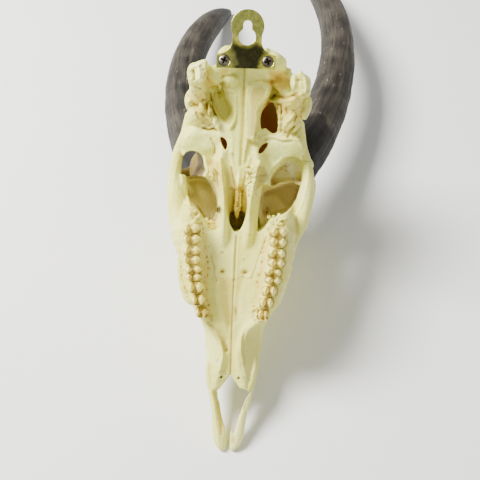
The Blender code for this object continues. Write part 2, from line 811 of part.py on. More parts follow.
def hanger_plate():
    outline = [on_plate(x, y) for x, y in plate_outline()]
    plate = prism("hanger_plate", outline, PLATE_Z - PLATE_THICK, PLATE_Z)
    keyhole = [on_plate(x, y) for x, y in keyhole_outline()]
    cutters = [prism("keyhole", keyhole, PLATE_Z - 5, PLATE_Z + 5)]
    cutters += [screw_body("screw_hole", s, GAP) for s in SIDES]
    return cut(plate, cutters)


def screw_body(name, s, grow):
    """A countersunk head on a straight shank, this much larger all over."""
    x, y = on_plate(s * SCREW_X, SCREW_Y)
    face = PLATE_Z - PLATE_THICK
    profile = (
        (face - 0.5 - grow, SCREW_HEAD_R * 0.8 + grow),
        (face, SCREW_HEAD_R + grow),
        (PLATE_Z + 0.8, 1.5 + grow),
        (PLATE_Z + SCREW_LENGTH - 2 + grow, 1.4 + grow),
        (PLATE_Z + SCREW_LENGTH + grow, 0.4 + grow),
    )
    rings = []
    for z, radius in profile:
        turns = [2 * math.pi * k / 18 for k in range(18)]
        rings.append([(x + radius * math.cos(a), y + radius * math.sin(a), z) for a in turns])
    return loft(name, rings)


def screw(s):
    """One wood screw with a cross recess in its head."""
    name = "screw_left" if s > 0 else "screw_right"
    body = screw_body(name, s, 0)
    x, y = on_plate(s * SCREW_X, SCREW_Y)
    face = PLATE_Z - PLATE_THICK
    bars = []
    for turn in (20, 110):
        bar = box("cross", (-1.9, -0.45, face - 2), (1.9, 0.45, face + 0.7))
        turned = Matrix.Rotation(math.radians(turn * s), 4, "Z")
        bar.data.transform(Matrix.Translation(Vector((x, y, 0)) * MM) @ turned)
        bars.append(bar)
    return cut(body, bars)


def basic_holes():
    """Holes and hollows in the thin walls, the palate's front and the base of the skull."""
    cutters = [
        prism("front_notch", FRONT_NOTCH, -6, 12),
        prism("throat_notch", throat_outline(), -10, 14),
        prism("ear_hole", sided(EAR_HOLE, -1), 2, 32),
        ball("ear_bowl", (16.4, 206, 8.5), (7.8, 11.8, 9.6), (0, 0, -12)),
        ball("beside_plate", (-21.5, 221.5, 9), (6.0, 7.0, 6.5)),
        ball("beside_knob", (18.5, 223.0, 7), (4.5, 6.0, 5.5)),
    ]
    for s in SIDES:
        cutters += [
            ball("oval_hole", (s * 11.8, 184.0, 14), (2.3, 5.2, 10), (0, 0, s * 25)),
            ball("eye_roof_hole", (s * 16.5, 146, 62), (1.5, 1.5, 9), (0, s * 6, 0)),
            ball("cheek_hole", (s * 25, 83, 15), (6, 2.2, 2.6), (0, 0, s * -40)),
            ball("ear_tube_hole", (s * 36, 207.0, 24.5), (6, 2.3, 2.3)),
        ]
    return cutters


def throat_outline():
    """The rear edge of the palate: a rounded notch that narrows as it runs back between the side plates."""
    return list(THROAT_NOTCH) + [(-x, y) for x, y in reversed(THROAT_NOTCH[1:])]


def smooth_step(value):
    value = np.clip(value, 0, 1)
    return value * value * (3 - 2 * value)


def settled_askew(obj):
    """The slight crookedness of this skull: its back end leans to one side."""
    count = len(obj.data.vertices)
    flat = np.empty(3 * count)
    obj.data.vertices.foreach_get("co", flat)
    points = flat.reshape(count, 3) / MM
    back = smooth_step((points[:, 1] - 172) / 62)
    low = smooth_step((points[:, 1] - 160) / 20) * smooth_step((42 - points[:, 2]) / 18)
    points[:, 1] += BASE_SHEAR * points[:, 0] * low
    points[:, 0] += BACK_LEAN * back
    obj.data.vertices.foreach_set("co", (points * MM).ravel())
    obj.data.update()
    return obj


def skull_bone():
    """The whole bony skull as one fine body, before it is parted."""
    body = cut(main_masses(), openings())
    body = fused("skull", [body] + fine_bones(), rounds=2)
    body = cut(body, basic_holes())
    return settled_askew(fused("skull", [body], rounds=1))


def widened(outline, by):
    """The outline moved outwards by this much."""
    points = np.array(outline, float)
    ahead = np.roll(points, -1, axis=0) - points
    area = np.sum(points[:, 0] * np.roll(points[:, 1], -1) - np.roll(points[:, 0], -1) * points[:, 1])
    ahead /= np.linalg.norm(ahead, axis=1)[:, None]
    normal = np.stack([ahead[:, 1], -ahead[:, 0]], axis=1) * np.sign(area)
    before = np.roll(normal, 1, axis=0)
    share = 1 + np.sum(normal * before, axis=1)
    return points + (normal + before) * by / share[:, None]


def side_block(outline, low, high, by):
    """A block with an outline given from the side, from x low to x high."""
    rings = [[(x, y, z) for y, z in widened(outline, by)] for x in (low - by, high + by)]
    return loft("area", rings)


def nasal_block(by):
    half = [(x, y) for y, x in NASAL_AREA]
    outline = widened(half + [(-x, y) for x, y in reversed(half[:-1])], by)
    low = [(x, y, NASAL_FLOOR[0] + NASAL_FLOOR[1] * y - by) for x, y in outline]
    return loft("area", [low, [(x, y, 80) for x, y in outline]])


def parted(body, make_area, names):
    """Takes the bones inside an area out of the body, leaving a narrow gap."""
    taken = body.copy()
    taken.data = body.data.copy()
    bpy.context.scene.collection.objects.link(taken)
    taken = cut(taken, [make_area(0)], operation="INTERSECT")
    body = cut(body, [make_area(GAP)])
    bones = loose_parts(taken)
    for bone, name in zip(bones, names):
        bone.name = name
    remove(bones[len(names) :])
    return body, bones[: len(names)]


def by_side(bones, left, right):
    """Names a pair of bones after the side that they lie on."""
    for bone in bones:
        middle = sum(v.co.x for v in bone.data.vertices)
        bone.name = left if middle > 0 else right
    return bones


def bones():
    """The skull's bones, each its own body, and its teeth."""
    body = thinned(skull_bone(), BONE_TRIANGLES)
    tooth_objects, sockets = teeth()
    cutters = sockets + [horn(s, GAP) for s in SIDES] + [screw_body("screw_way", s, GAP) for s in SIDES]
    cutters.append(box("plate_seat", (-22, 222, -30), (18, 250, PLATE_Z)))
    body = cut(body, cutters)
    body, nasals = parted(body, nasal_block, ["nasals"])
    body, front = parted(body, lambda by: side_block(PREMAXILLA_AREA, -30, 30, by), ["a", "b"])
    body, left = parted(body, lambda by: side_block(CHEEK_AREA, 33, 60, by), ["zygomatic_left"])
    body, right = parted(body, lambda by: side_block(CHEEK_AREA, -60, -33, by), ["zygomatic_right"])
    body, frontal = parted(body, lambda by: side_block(FRONTAL_AREA, -60, 60, by), ["frontal"])
    body, cranium = parted(body, lambda by: side_block(CRANIUM_AREA, -60, 60, by), ["braincase"])
    rest = loose_parts(body)
    rest[0].name = "face"
    remove(rest[1:])
    found = nasals + by_side(front, "premaxilla_left", "premaxilla_right") + left + right
    return found + frontal + cranium + rest[:1], tooth_objects


def build():
    clear_scene()
    bone = material("bone", (0.82, 0.76, 0.56), 0.55)
    enamel = material("enamel", (0.86, 0.80, 0.60), 0.35)
    keratin = material("horn", (0.06, 0.05, 0.045), 0.5)
    brass = material("brass", (0.70, 0.58, 0.22), 0.3, 1.0)
    steel = material("steel", (0.55, 0.50, 0.42), 0.35, 1.0)

    rest = bpy.data.objects.new("rest", None)
    bpy.context.scene.collection.objects.link(rest)
    bone_objects, tooth_objects = bones()
    groups = [
        (bone_objects, bone),
        (tooth_objects, enamel),
        ([horn(s) for s in SIDES], keratin),
        ([hanger_plate()], brass),
        ([screw(s) for s in SIDES], steel),
    ]
    for members, finish in groups:
        for obj in members:
            obj.data.materials.clear()
            obj.data.materials.append(finish)
            obj.data.shade_smooth()
            obj.data.set_sharp_from_angle(angle=SHARP_ANGLE)
            obj.parent = rest
    rest.rotation_mode = "YXZ"
    rest.rotation_euler = Euler((REST_TILT, math.pi + REST_ROLL, 0), "YXZ")
    rest.location = Vector(REST_PLACE) * MM


build()
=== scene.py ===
"""The looks of a bushbuck skull with its horns and its brass hanger, lying palate up on a pale floor.

The bones are modelled like fine clay in the skull's own frame, in millimetres: x to the animal's left,
y from the nose back to the neck, z from the palate up to the forehead. They are then carved, coloured
point by point, parted along their sutures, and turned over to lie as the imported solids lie.
"""

import math

import bmesh
import bpy
import numpy as np
from mathutils import Euler, Matrix, Vector


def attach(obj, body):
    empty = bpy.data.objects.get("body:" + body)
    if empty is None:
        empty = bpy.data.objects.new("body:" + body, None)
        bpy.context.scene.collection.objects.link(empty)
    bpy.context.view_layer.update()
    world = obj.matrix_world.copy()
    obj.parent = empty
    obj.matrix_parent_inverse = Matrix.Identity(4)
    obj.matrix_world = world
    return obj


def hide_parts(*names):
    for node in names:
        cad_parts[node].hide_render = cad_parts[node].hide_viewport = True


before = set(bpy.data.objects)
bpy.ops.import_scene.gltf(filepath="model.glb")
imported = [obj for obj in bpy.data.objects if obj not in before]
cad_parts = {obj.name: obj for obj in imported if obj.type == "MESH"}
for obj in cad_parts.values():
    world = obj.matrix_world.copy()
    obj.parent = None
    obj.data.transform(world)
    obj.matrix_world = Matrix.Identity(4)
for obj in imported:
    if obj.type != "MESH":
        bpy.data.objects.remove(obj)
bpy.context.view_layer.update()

MM = 0.001
GAP = 0.3
SIDES = (1, -1)

# How the skull lies: turned over, tail end up by this angle, then moved so that it rests on the floor.
REST_TILT = math.radians(37.521)
REST_ROLL = math.radians(-0.036)
REST_PLACE = (-4.34, -241.39, 3.51)

# The face, station by station along y: crest half width and height, palate height at the middle, widest
# half width and its height, upper half width and its height, roof half width, roof height.
FACE = (
    (36, 10.5, 2.0, 3.4, 14.4, 8.0, 13.4, 14.0, 9.0, 17.0),
    (45, 7.6, 0.6, 2.8, 15.2, 9.0, 14.4, 17.0, 9.0, 20.5),
    (54, 5.2, 0.0, 2.4, 15.8, 10.0, 14.8, 20.0, 9.5, 25.0),
    (64, 5.6, 0.0, 2.8, 17.0, 11.0, 15.0, 24.0, 11.0, 32.0),
    (72, 9.5, 0.0, 3.5, 18.3, 11.0, 15.6, 27.0, 12.0, 36.0),
    (79, 17.5, 0.0, 4.0, 21.0, 9.0, 16.8, 29.0, 12.5, 39.0),
    (90, 23.5, 0.0, 4.5, 28.0, 9.0, 19.5, 32.5, 13.0, 43.0),
    (105, 27.5, 0.0, 5.0, 32.8, 10.0, 23.0, 38.0, 14.0, 48.5),
    (120, 30.0, 0.0, 5.5, 36.0, 14.0, 27.0, 45.0, 16.0, 55.0),
    (132, 30.0, 1.0, 6.0, 38.5, 19.0, 31.5, 52.0, 19.0, 60.5),
    (143, 26.0, 5.0, 7.0, 41.0, 26.0, 37.5, 58.0, 23.0, 66.0),
    (156, 18.0, 11.0, 12.0, 38.0, 36.0, 40.5, 62.0, 26.0, 71.0),
    (169, 14.0, 13.0, 14.0, 31.0, 40.0, 36.5, 63.0, 27.0, 74.5),
    (184, 12.0, 14.0, 14.0, 28.0, 42.0, 28.0, 62.0, 22.0, 75.0),
)
# One premaxilla, along y: centre from the middle, centre height, half width, half height.
PREMAXILLA = (
    (0.5, 3.0, 3.6, 1.8, 2.0),
    (3, 4.1, 3.5, 3.0, 2.8),
    (8, 5.1, 3.6, 4.0, 3.3),
    (13, 5.7, 4.2, 4.1, 3.6),
    (17, 6.7, 4.8, 3.4, 4.0),
    (24, 8.2, 6.3, 2.8, 5.0),
    (31, 9.9, 8.3, 2.7, 6.0),
    (37, 11.4, 10.0, 2.6, 7.5),
    (42, 12.8, 11.5, 2.4, 8.6),
    (54, 14.4, 16.0, 2.0, 9.0),
    (70, 13.0, 27.5, 1.8, 6.0),
)
# The floor of the braincase in the middle, along y: half width, underside, top.
BASE = (
    (155, 1.4, 12.5, 23.0),
    (163, 2.6, 12.4, 25.0),
    (172, 4.6, 12.3, 26.0),
    (181, 6.6, 12.0, 26.0),
    (194, 9.6, 11.5, 26.0),
    (208, 9.6, 10.2, 24.0),
    (220, 13.5, 8.5, 20.0),
    (230, 14.5, 5.0, 14.0),
    (238, 13.5, 3.0, 9.0),
)
# One zygomatic arch, along y: centre from the middle, centre height, half width, half height.
ARCH = (
    (116, 31.5, 14.0, 4.6, 8.0),
    (128, 35.0, 17.0, 5.4, 8.0),
    (140, 38.0, 21.0, 5.8, 7.4),
    (154, 40.6, 25.5, 5.2, 6.4),
    (167, 42.0, 28.8, 4.0, 5.6),
    (179, 40.4, 28.5, 3.4, 4.8),
    (190, 36.0, 25.5, 3.9, 4.8),
    (203, 32.0, 24.0, 5.0, 5.6),
)
ORBIT_CENTRE = (40.0, 148.5, 45.5)
ORBIT_RIM = (17.6, 17.0)
ORBIT_RIM_THICK = (2.6, 3.2)
ORBIT_TURN = math.radians(14)
BRAINCASE_CENTRE = (0.0, 195.0, 43.0)
BRAINCASE_RADII = (33.0, 41.0, 31.0)
BRAIN_CENTRE = (0.0, 199.0, 41.0)
BRAIN_RADII = (22.5, 27.5, 21.0)
CONDYLE_CENTRE = (12.5, 234.0, 8.5)
CONDYLE_RADII = (9.5, 9.5, 12.5)
CONDYLE_OUT = {1: 0.0, -1: 2.0}
BACK_LEAN = -2.4
BASE_SHEAR = 0.05

# The notch between the two front bones of the palate, seen from below.
FRONT_NOTCH = ((-8.8, 33.0), (0, 45.8), (8.8, 33.0), (7.2, 28), (-7.2, 28))

# Cheek teeth, front to back: name, y of the front and the back, middle from the midline, half width, lobes,
# and how much of the crown is left.
TEETH = (
    ("p2", 79.0, 85.8, 18.1, 3.5, 1, 0.5),
    ("p3", 86.2, 92.9, 19.9, 4.1, 1, 0.92),
    ("p4", 93.3, 100.1, 21.5, 4.6, 1, 1.0),
    ("m1", 100.5, 110.0, 23.2, 5.2, 2, 0.95),
    ("m2", 110.4, 121.7, 24.8, 5.5, 2, 1.0),
    ("m3", 122.1, 134.6, 25.3, 5.5, 2, 1.0),
)
CROWN_TOP = -7.6
CROWN_ROOT = 1.4

# Horns: where the base stands on the forehead, and the way the middle line runs at four even stations,
# as the angle up from the palate's plane and the angle out from the middle.
HORN_BASE = (23.0, 169.0, 73.0)
HORN_RISE = (44.4, 38.7, 48.9, 66.1)
HORN_SPREAD = (29.3, 9.8, -9.1, -14.7)
HORN_LENGTHS = {1: 255.0, -1: 315.0}
HORN_LEANS = {1: 1.0, -1: -0.961}
HORN_BENDS = {1: (-0.5, -0.2, 0.6, 0.5), -1: (0.7, 0.0, -0.8, -1.0)}
HORN_RADII = (
    (0.0, 17.6), (0.08, 16.6), (0.2, 15.0), (0.35, 13.7), (0.5, 12.5), (0.7, 11.7), (0.8, 10.7),
    (0.88, 8.8), (0.95, 6.3), (1.0, 3.9),
)
HORN_KEEL = 0.12
# The stump under each horn: rows of how far below the horn, and radius.
PEDICLE = ((18, 17.5), (9, 16.6), (GAP, 16.2))
HORN_TWIST = math.radians(200)
HORN_RINGS = 24

# Brass hanger plate and its screws.
PLATE_THICK = 1.4
PLATE_HALF = 17.5
PLATE_X = -2.6
PLATE_Y = 227.0
PLATE_Z = -5.6
PLATE_TURN = math.radians(0.6)
PLATE_REACH = 34.6
PLATE_EAR = 8.1
PLATE_CURVE = 8.5
PLATE_NECK = 8.6
PLATE_HEAD_R = 9.9
KEYHOLE_Y = 18.6
KEYHOLE_R = 5.1
SLOT_R = 2.6
SLOT_TOP = 28.2
SCREW_X = 12.9
SCREW_Y = 4.3
SCREW_HEAD_R = 3.3
SCREW_LENGTH = 13.0

# Thin bars and plates: rows of (from the middle, y, z, half width, half height), mirrored to both sides.
POST_ORBITAL = (
    (42.5, 165.5, 29, 2.4, 3.4),
    (42.5, 167, 42, 2.3, 3.6),
    (40, 168, 54, 3, 4.4),
    (36, 170, 62, 4, 5),
)
PTERYGOID = (
    (6.5, 119, 9.5, 2.6, 2.6),
    (7.6, 130, 5.2, 2.4, 3.6),
    (7.6, 141, 6.5, 1.5, 6.0),
    (8.6, 153, 9.5, 1.3, 8.0),
    (10.6, 165, 12, 1.7, 7.5),
    (12.2, 173, 16, 2.5, 6.0),
)
PARACONDYLAR_OUT = {1: 0.0, -1: 2.0}
PARACONDYLAR = (
    (26, 214, 20, 7, 9),
    (28, 217, 10, 6.0, 8.8),
    (29.2, 220.5, 1, 5.2, 7.6),
    (29.6, 222.2, -5, 4.8, 6.6),
    (29.6, 222.4, -8.5, 4.0, 5.4),
)
NUCHAL_CREST = (
    (33, 212, 35, 4.2, 5),
    (28, 219, 47, 4.5, 5),
    (16, 226, 55, 4.5, 5),
    (-3, 228, 57.5, 4.5, 5),
)
# The tube of the outer ear, the way out of the brain room, and the plate that divides the rear of the nose:
# rows of (from the middle, y, z, half width, half height).
EAR_TUBE = ((24, 203, 20, 4, 5), (34, 206, 24, 3.6, 4.4))
MAGNUM_PATH = ((0, 216, 26, 8.8, 7.5), (0, 229, 19, 8.8, 7.5), (0, 255, 12, 8.8, 7.5))
VOMER = (
    (0, 168, 15, 1.8, 2.5),
    (0, 156, 13, 2.0, 3.5),
    (0, 146, 11.5, 2.0, 5),
    (0, 137, 11, 1.7, 6),
    (0, 129, 13, 1.1, 6),
    (0, 118, 13, 1.0, 6),
    (0, 98, 8, 1.0, 4),
)
BASILAR_PLATE = (
    (3.2, 222.4), (7.4, 222.8), (15.7, 221.4), (14.8, 216.2), (12.9, 212.6), (9.3, 206.5),
    (8.6, 193.0), (7.7, 187.0), (3.2, 188.0), (2.2, 199.0), (1.3, 203.0), (1.5, 218.7),
)
# The right pit behind the eye, from below outwards: rows of (from the middle, y, z, radius across, radius
# along).
TEMPLE_WAY = (
    (32, 172.8, 16, 7.8, 8.2),
    (32.5, 172.8, 30, 8.0, 8.2),
    (37, 174.5, 41, 8.5, 8.5),
    (47, 177, 49, 9.5, 9.5),
    (60, 180, 56, 11.0, 11.0),
)
# The thin bar along the back of the orbit, in the same kind of rows, mirrored to both sides.
ORBIT_BACK = ((38.5, 163.0, 32, 1.3, 3.0), (31.5, 165.4, 39, 1.2, 4.0), (24.0, 165.0, 46, 1.3, 4.5))

# Outlines of the separate bones, seen from the side as (y, z), or from above as (x, y).
PREMAXILLA_AREA = ((-6, -9), (30.5, -9), (34, 3.2), (44, 8), (58, 18.5), (74, 33.5), (60, 40), (-6, 40))
NASAL_FLOOR = (-6.0, 0.42)
NASAL_AREA = ((40, 10.5), (60, 11.0), (80, 11.5), (105, 12.5), (118, 11.5), (126, 4.5), (128, 0))
FRONTAL_AREA = (
    (112, 50.5), (126, 51.5), (131, 47.5), (150, 45.0), (166, 46.5), (174, 44.0), (182, 50.0),
    (192, 66.0), (198, 92.0), (112, 92.0),
)
CHEEK_AREA = (
    (112, 3), (122, -2), (140, 8), (160, 14), (176, 22), (179, 34), (174, 44), (166, 46.5), (150, 45),
    (131, 47.5), (118, 28),
)
CRANIUM_AREA = ((160, -12), (262, -12), (262, 92), (180, 92), (150, 47), (172, 36), (168, 20))

# Fineness of the clay, in millimetres, first for the large forms and then for all.
ROUGH_CLAY = 0.75
FINE_CLAY = 0.55
# The gap in a suture, the angle from which an edge stays sharp, how far the hanger's head and one of its
# ears are bent, and the seeds of the crumbs and of all noise.
SUTURE = 0.05
SHARP_FOLD = math.radians(55)
PLATE_BEND = 1.6
EAR_BEND = 0.01
SEED = 7
NOISE_SEED = 11

# The grain of all bone: height, size and seed of the noise.
BONE_SWELLS = ((0.22, 9.0, 1), (0.1, 3.5, 2))
BONE_GRAIN = (0.08, 1.4, 3)
# How far behind the nearest bone a point still counts as seen, and how close bones lie along a suture.
SEEN_DEPTH = 3.0
SEAM_CELL = 0.4
# How a lump's outline draws in towards its ends: share of its height, and share of its width.
ROUNDED_ENDS = (
    (0, 0.66), (0.06, 0.84), (0.15, 0.95), (0.3, 1.0), (0.7, 1.0), (0.85, 0.94), (0.94, 0.8), (1, 0.6),
)
# The walls beside the throat's opening, in the same kind of rows as PTERYGOID.
PALATINE_WALL = (
    (8.6, 131, 15, 3.6, 7),
    (8.8, 145, 16, 3.6, 7),
    (9.8, 158, 18, 4.0, 7),
    (12, 168, 20, 4, 6),
)
# Torn bone on the right wing beside the throat: pixel across, pixel down, height and size.
JAGS = (
    (247.5, 170, 9, 1.6),
    (252.5, 172, 7, 1.5),
    (253.6, 179, 5.5, 1.6),
    (252, 186, 4.6, 1.5),
    (254.4, 191, 4, 1.5),
)
# Loose crumbs behind the last tooth, in millimetres, and how many on each side.
TOOTH_CRUMBS = ((22, 135.5, -3), (30.5, 141.5, 1.5), 9)
# A crown's rings above its chewing surface: height, height for each share of crown left, and size.
CROWN_RINGS = ((CROWN_ROOT, 0, 0.86), (0, 0, 0.96), (-2, 0, 0.985), (0, -4.0, 1.0), (0, -5.6, 0.99))
# A tooth with less of its crown left than this is a broken stump.
WORN_STUMP = 0.6
# Where a horn's keel starts, the distance between its rings, its sides, the rings that round off its tip,
# and how wide it is taken to be where its grain is worked out.
HORN_KEEL_START = 1.2
HORN_STEP = 0.8
HORN_SIDES = 128
HORN_TIP_SHARES = (0.3, 0.5, 0.7, 0.85, 0.95)
HORN_GRAIN_RADIUS = 15
# The cross recess of a screw: how its bars are turned, and their half length and half width.
CROSS_TURNS = (20, 110)
CROSS_HALF = (2.1, 0.55)

# The camera, as worked out from the photograph: turns, shift, pixels for each millimetre at the palate,
# distance, and the y that it looks at. A photograph is PHOTO_SIZE pixels wide and high.
CAMERA_TURNS = tuple(math.radians(a) for a in (-0.601, -3.748, -2.216))
CAMERA_SHIFT = (-2.7963, 0.0708)
CAMERA_SCALE = 1.6806
CAMERA_FAR = 500.0
CAMERA_AIM = 126.0
PHOTO_SIZE = 480
SENSOR = 36.0

# Lights: name, place, size in metres, power and colour. All look at LIGHT_AIM.
LIGHT_AIM = (0, 0, 0.1)
LIGHTS = (
    ("key", (-0.7, 0.05, 1.0), 0.5, 46, (1.0, 0.99, 0.95)),
    ("fill", (0.7, -0.9, 0.7), 0.9, 2, (0.97, 0.98, 1.0)),
)
# The studio's grey surroundings, darker around one side that the brass mirrors.
DARK_SIDE = (0.0, -0.61, 0.79)
SURROUNDINGS = (
    (0.0, (0.98, 0.99, 1.0)),
    (0.80, (1.0, 1.0, 1.0)),
    (0.95, (0.90, 0.90, 0.86)),
    (0.985, (0.86, 0.86, 0.82)),
)
SURROUNDING_LIGHT = 0.52
FLOOR_HALF = 2500
FLOOR_THICK = 4

# Colours of the materials. The tones after them are multiplied with the bone's colours, or with the horns'.
WHITE = (1.0, 1.0, 1.0)
BONE_COLOURS = ((0.85, 0.84, 0.215), (0.80, 0.77, 0.165), (0.91, 0.92, 0.32))
BONE_GRAIN_DARK = (0.88, 0.86, 0.80)
ENAMEL_GRAIN_DARK = (0.9, 0.88, 0.84)
HORN_DARK = (0.036, 0.032, 0.027)
HORN_LIGHT = (0.074, 0.064, 0.051)
HORN_FIBRES = ((0.35, (0.50, 0.49, 0.48)), (0.6, WHITE), (0.75, (1.6, 1.55, 1.45)))
PATINA = (0.80, 0.84, 0.72)
STEEL_COLOURS = ((0.12, 0.10, 0.07), (0.28, 0.24, 0.18))
FLOOR_COLOURS = ((0.88, 0.88, 0.87), (0.91, 0.91, 0.90))
WARM = (1.0, 0.90, 0.72)
# Brown of sutures and stains, and along grooves also painted shade.
STAIN_AND_SHADE_BROWN = (0.62, 0.42, 0.20)
# How strongly the deep rooms glow, though no lamp is there: painted light.
PAINTED_INNER_GLOW = 0.12
INNER_BROWN = (0.42, 0.14, 0.06)
ORANGE = (0.86, 0.60, 0.28)
BROWN = (0.45, 0.27, 0.11)
# Near black for the deepest holes: painted shade.
PAINTED_HOLE_SHADE = (0.10, 0.06, 0.035)
OLIVE = (0.84, 0.80, 0.55)
GREEN_GREY = (0.90, 0.95, 0.88)
# A greyer tone for the right flanks: painted shade.
FLANK_SHADE = (0.86, 0.82, 0.86)
TAN = (0.86, 0.70, 0.50)
# A lighter tone for crests: painted highlight.
CREST_HIGHLIGHT = (1.04, 1.06, 1.16)
# The teeth: enamel, dentine, the deep valleys' brown, partly stain and partly painted shade, and the gum's
# stain at the neck and on the flanks.
ENAMEL = (0.98, 0.94, 0.24)
DENTINE = (0.80, 0.52, 0.07)
VALLEY_STAIN_AND_SHADE = (0.30, 0.20, 0.035)
GUM_STAIN = (0.84, 0.68, 0.13)
# Tones of the horns, and how far from its base each horn is black; on the left horn this black is partly
# painted shadow.
HORN_KEEL_TONE = (2.4, 2.2, 1.9)
HORN_SCUFF = (3.0, 2.8, 2.4)
HORN_BLACK = (0.22, 0.22, 0.24)
HORN_TIP = (0.12, 0.15, 0.30)
HORN_FLECK = (5.0, 5.0, 4.8)
HORN_BLACK_AND_SHADOW_REACH = {1: 36.0, -1: 60.0}
# The brass, its painted dark reflection, and the grime with painted shade in the screws' recesses.
BRIGHT_BRASS = (1.0, 0.93, 0.15)
OLIVE_BRASS = (0.42, 0.43, 0.12)
PAINTED_DARK_REFLECTION = (0.055, 0.05, 0.018)
GRIME_AND_SHADE = (0.10, 0.08, 0.05)
# Painted shade in hollows, with a yellow-brown that is partly dirt, and painted highlight on crests: rounds
# of smoothing that they are measured against, hollow (1) or crest (-1), depth where it starts, span over
# which it grows, strength and tone.
HOLLOW_SHADE_AND_CREST_HIGHLIGHT = (
    (14, 1, 0.1, 0.9, 0.6, ORANGE),
    (14, 1, 0.6, 1.4, 0.6, BROWN),
    (3, 1, 0.03, 0.3, 0.55, BROWN),
    (14, -1, 0.08, 0.7, 0.7, CREST_HIGHLIGHT),
)
# Patches on the brass, partly olive tarnish and partly painted reflection, with a painted dark reflection
# down its middle: tone, strength, softness in pixels, and an outline in pixels.
PLATE_TARNISH_AND_REFLECTIONS = (
    (OLIVE_BRASS, 0.85, 5.0, ((226, 4), (268, 4), (268, 34), (259, 40), (236, 36), (226, 32))),
    (PAINTED_DARK_REFLECTION, 1.0, 9.0, (
        (232, 40), (240, 44), (248, 46), (258, 42), (266, 49), (264, 58), (261, 73), (232, 73),
        (230, 60), (229, 51))),
    (OLIVE_BRASS, 0.9, 5.0, ((214, 56), (226, 52), (232, 60), (229, 71), (213, 71))),
    (OLIVE_BRASS, 0.5, 3.0, ((228, 44), (235, 52), (236, 66), (231, 66))),
)

# Outlines of the rooms in the skull, in pixels of the photograph. Those of one room start at the same
# corner and run the same way round.
ORBIT_RIM_LEFT = (
    (186.5, 181), (194, 177.5), (207, 177), (213, 172), (221.5, 170), (222, 184), (221.5, 198),
    (220.5, 212), (219, 225), (216.5, 230.5), (211, 230), (205, 225), (201, 215), (196, 209.5),
    (190.5, 205.5), (188, 194),
)
ORBIT_WALL_LEFT = (
    (187, 181.5), (194, 177.5), (204, 177.5), (209, 180), (213, 183), (217, 191), (219.5, 200),
    (219, 211), (217.5, 221), (214, 224), (209, 223), (204, 219), (200, 212), (195, 207), (190, 202),
    (187.5, 191),
)
ORBIT_ROOF_LEFT = (
    (183, 180), (192, 176.5), (202, 176.5), (207, 179.5), (210.5, 185), (213.5, 192), (216.5, 200),
    (216.8, 207), (215, 214), (212, 220), (208, 221), (203, 217), (199, 211), (194, 206), (188, 200),
    (184.5, 190),
)
ORBIT_RIM_RIGHT = (
    (254.5, 184), (262, 183), (272, 184.5), (283, 182), (292, 181), (299.5, 185.5), (296, 193),
    (292.5, 202), (288.5, 210.5), (281, 215.5), (271, 218.5), (265, 227), (258.5, 232), (254.5, 228),
    (252.3, 215), (252, 198),
)
ORBIT_WALL_RIGHT = (
    (256, 187), (263, 186.5), (273, 186), (284, 183), (293, 182), (300, 187), (297.5, 194), (294, 202),
    (289, 210), (281, 214.5), (272, 217), (266, 223), (261, 227), (257.5, 223), (255, 212), (254, 199),
)
ORBIT_ROOF_RIGHT = (
    (263, 193), (268, 190.5), (275, 188.5), (285, 184), (294, 183), (302, 188), (300, 195), (296, 202),
    (290, 209), (282, 213), (274, 215), (268, 217), (264, 216), (262, 211), (260.5, 206), (260.5, 199),
)
TEMPLE_RIM_LEFT = (
    (182.3, 164), (184.5, 156.5), (190, 153.2), (197, 154), (201.5, 157.5), (203.5, 163), (204, 170),
    (201, 175.5), (192, 178), (184.5, 180), (182.5, 174),
)
TEMPLE_WALL_LEFT = (
    (181, 164), (183.5, 157), (188, 154), (193.5, 155), (197, 158), (199, 163), (199.5, 169),
    (197.5, 174), (190, 177), (183.5, 179), (181, 174),
)
TEMPLE_EXIT_LEFT = (
    (172, 163), (175, 155.5), (179, 152), (184, 153), (187, 156), (188.5, 161), (188.5, 168),
    (187, 174), (181, 178), (175, 179), (172, 173),
)
TEMPLE_RIM_RIGHT = (
    (270.5, 178), (275.5, 170), (281, 163.5), (287, 160.5), (293.5, 160.5), (299, 163.5),
    (302.5, 169.5), (302, 178), (299.5, 186), (290, 182), (280, 183), (271, 186),
)
TEMPLE_WALL_RIGHT = (
    (272.5, 178), (277, 171.5), (282.5, 166), (288, 163.5), (293.5, 163.5), (298, 166), (301, 171),
    (301, 178), (298.5, 184), (290, 181), (281, 181.5), (273.5, 184),
)
THROAT_RIM = (
    (224.5, 176), (231, 180), (238.5, 186), (246, 180), (250.5, 176), (249.8, 192), (249, 205),
    (246.5, 215), (243.5, 225), (240, 231), (236.3, 233), (232.5, 231), (229, 224), (226.5, 215),
    (224.5, 203), (224, 190),
)
THROAT_WALL = (
    (230, 186), (234, 190), (238.5, 194), (242.5, 190), (246, 186), (246.5, 196), (246.5, 206),
    (245.3, 214), (243, 223), (240, 229), (236.3, 231), (233, 229), (230, 223), (229, 215),
    (228.5, 206), (228.5, 196),
)
THROAT_DEEP = (
    (230.5, 212), (233, 211), (237, 211), (241.5, 211), (244, 212), (245, 214.5), (245, 218),
    (244, 221), (242.5, 225), (240, 228), (236.3, 230), (233, 228), (231, 225), (229.8, 221),
    (229.3, 218), (229.5, 214.5),
)
VOMER_BED = (
    (229, 184), (238.5, 179), (247, 184), (249, 200), (247.5, 212.5), (241, 214.5), (236.5, 212.5),
    (231, 214.5), (226.5, 212), (227.5, 198),
)
EAR_GAP = (
    (269.5, 100.5), (272, 104), (275, 110), (276.6, 117), (276.8, 124), (276, 130), (272, 132),
    (268, 130), (264, 127), (260.3, 128.5), (259, 123), (258.6, 117), (260, 110), (264, 104.5),
)
OVAL_LEFT = (
    (219.8, 138), (223.5, 139), (226.3, 142.5), (227, 147), (225.6, 150.8), (223.3, 149),
    (220.8, 143.5),
)
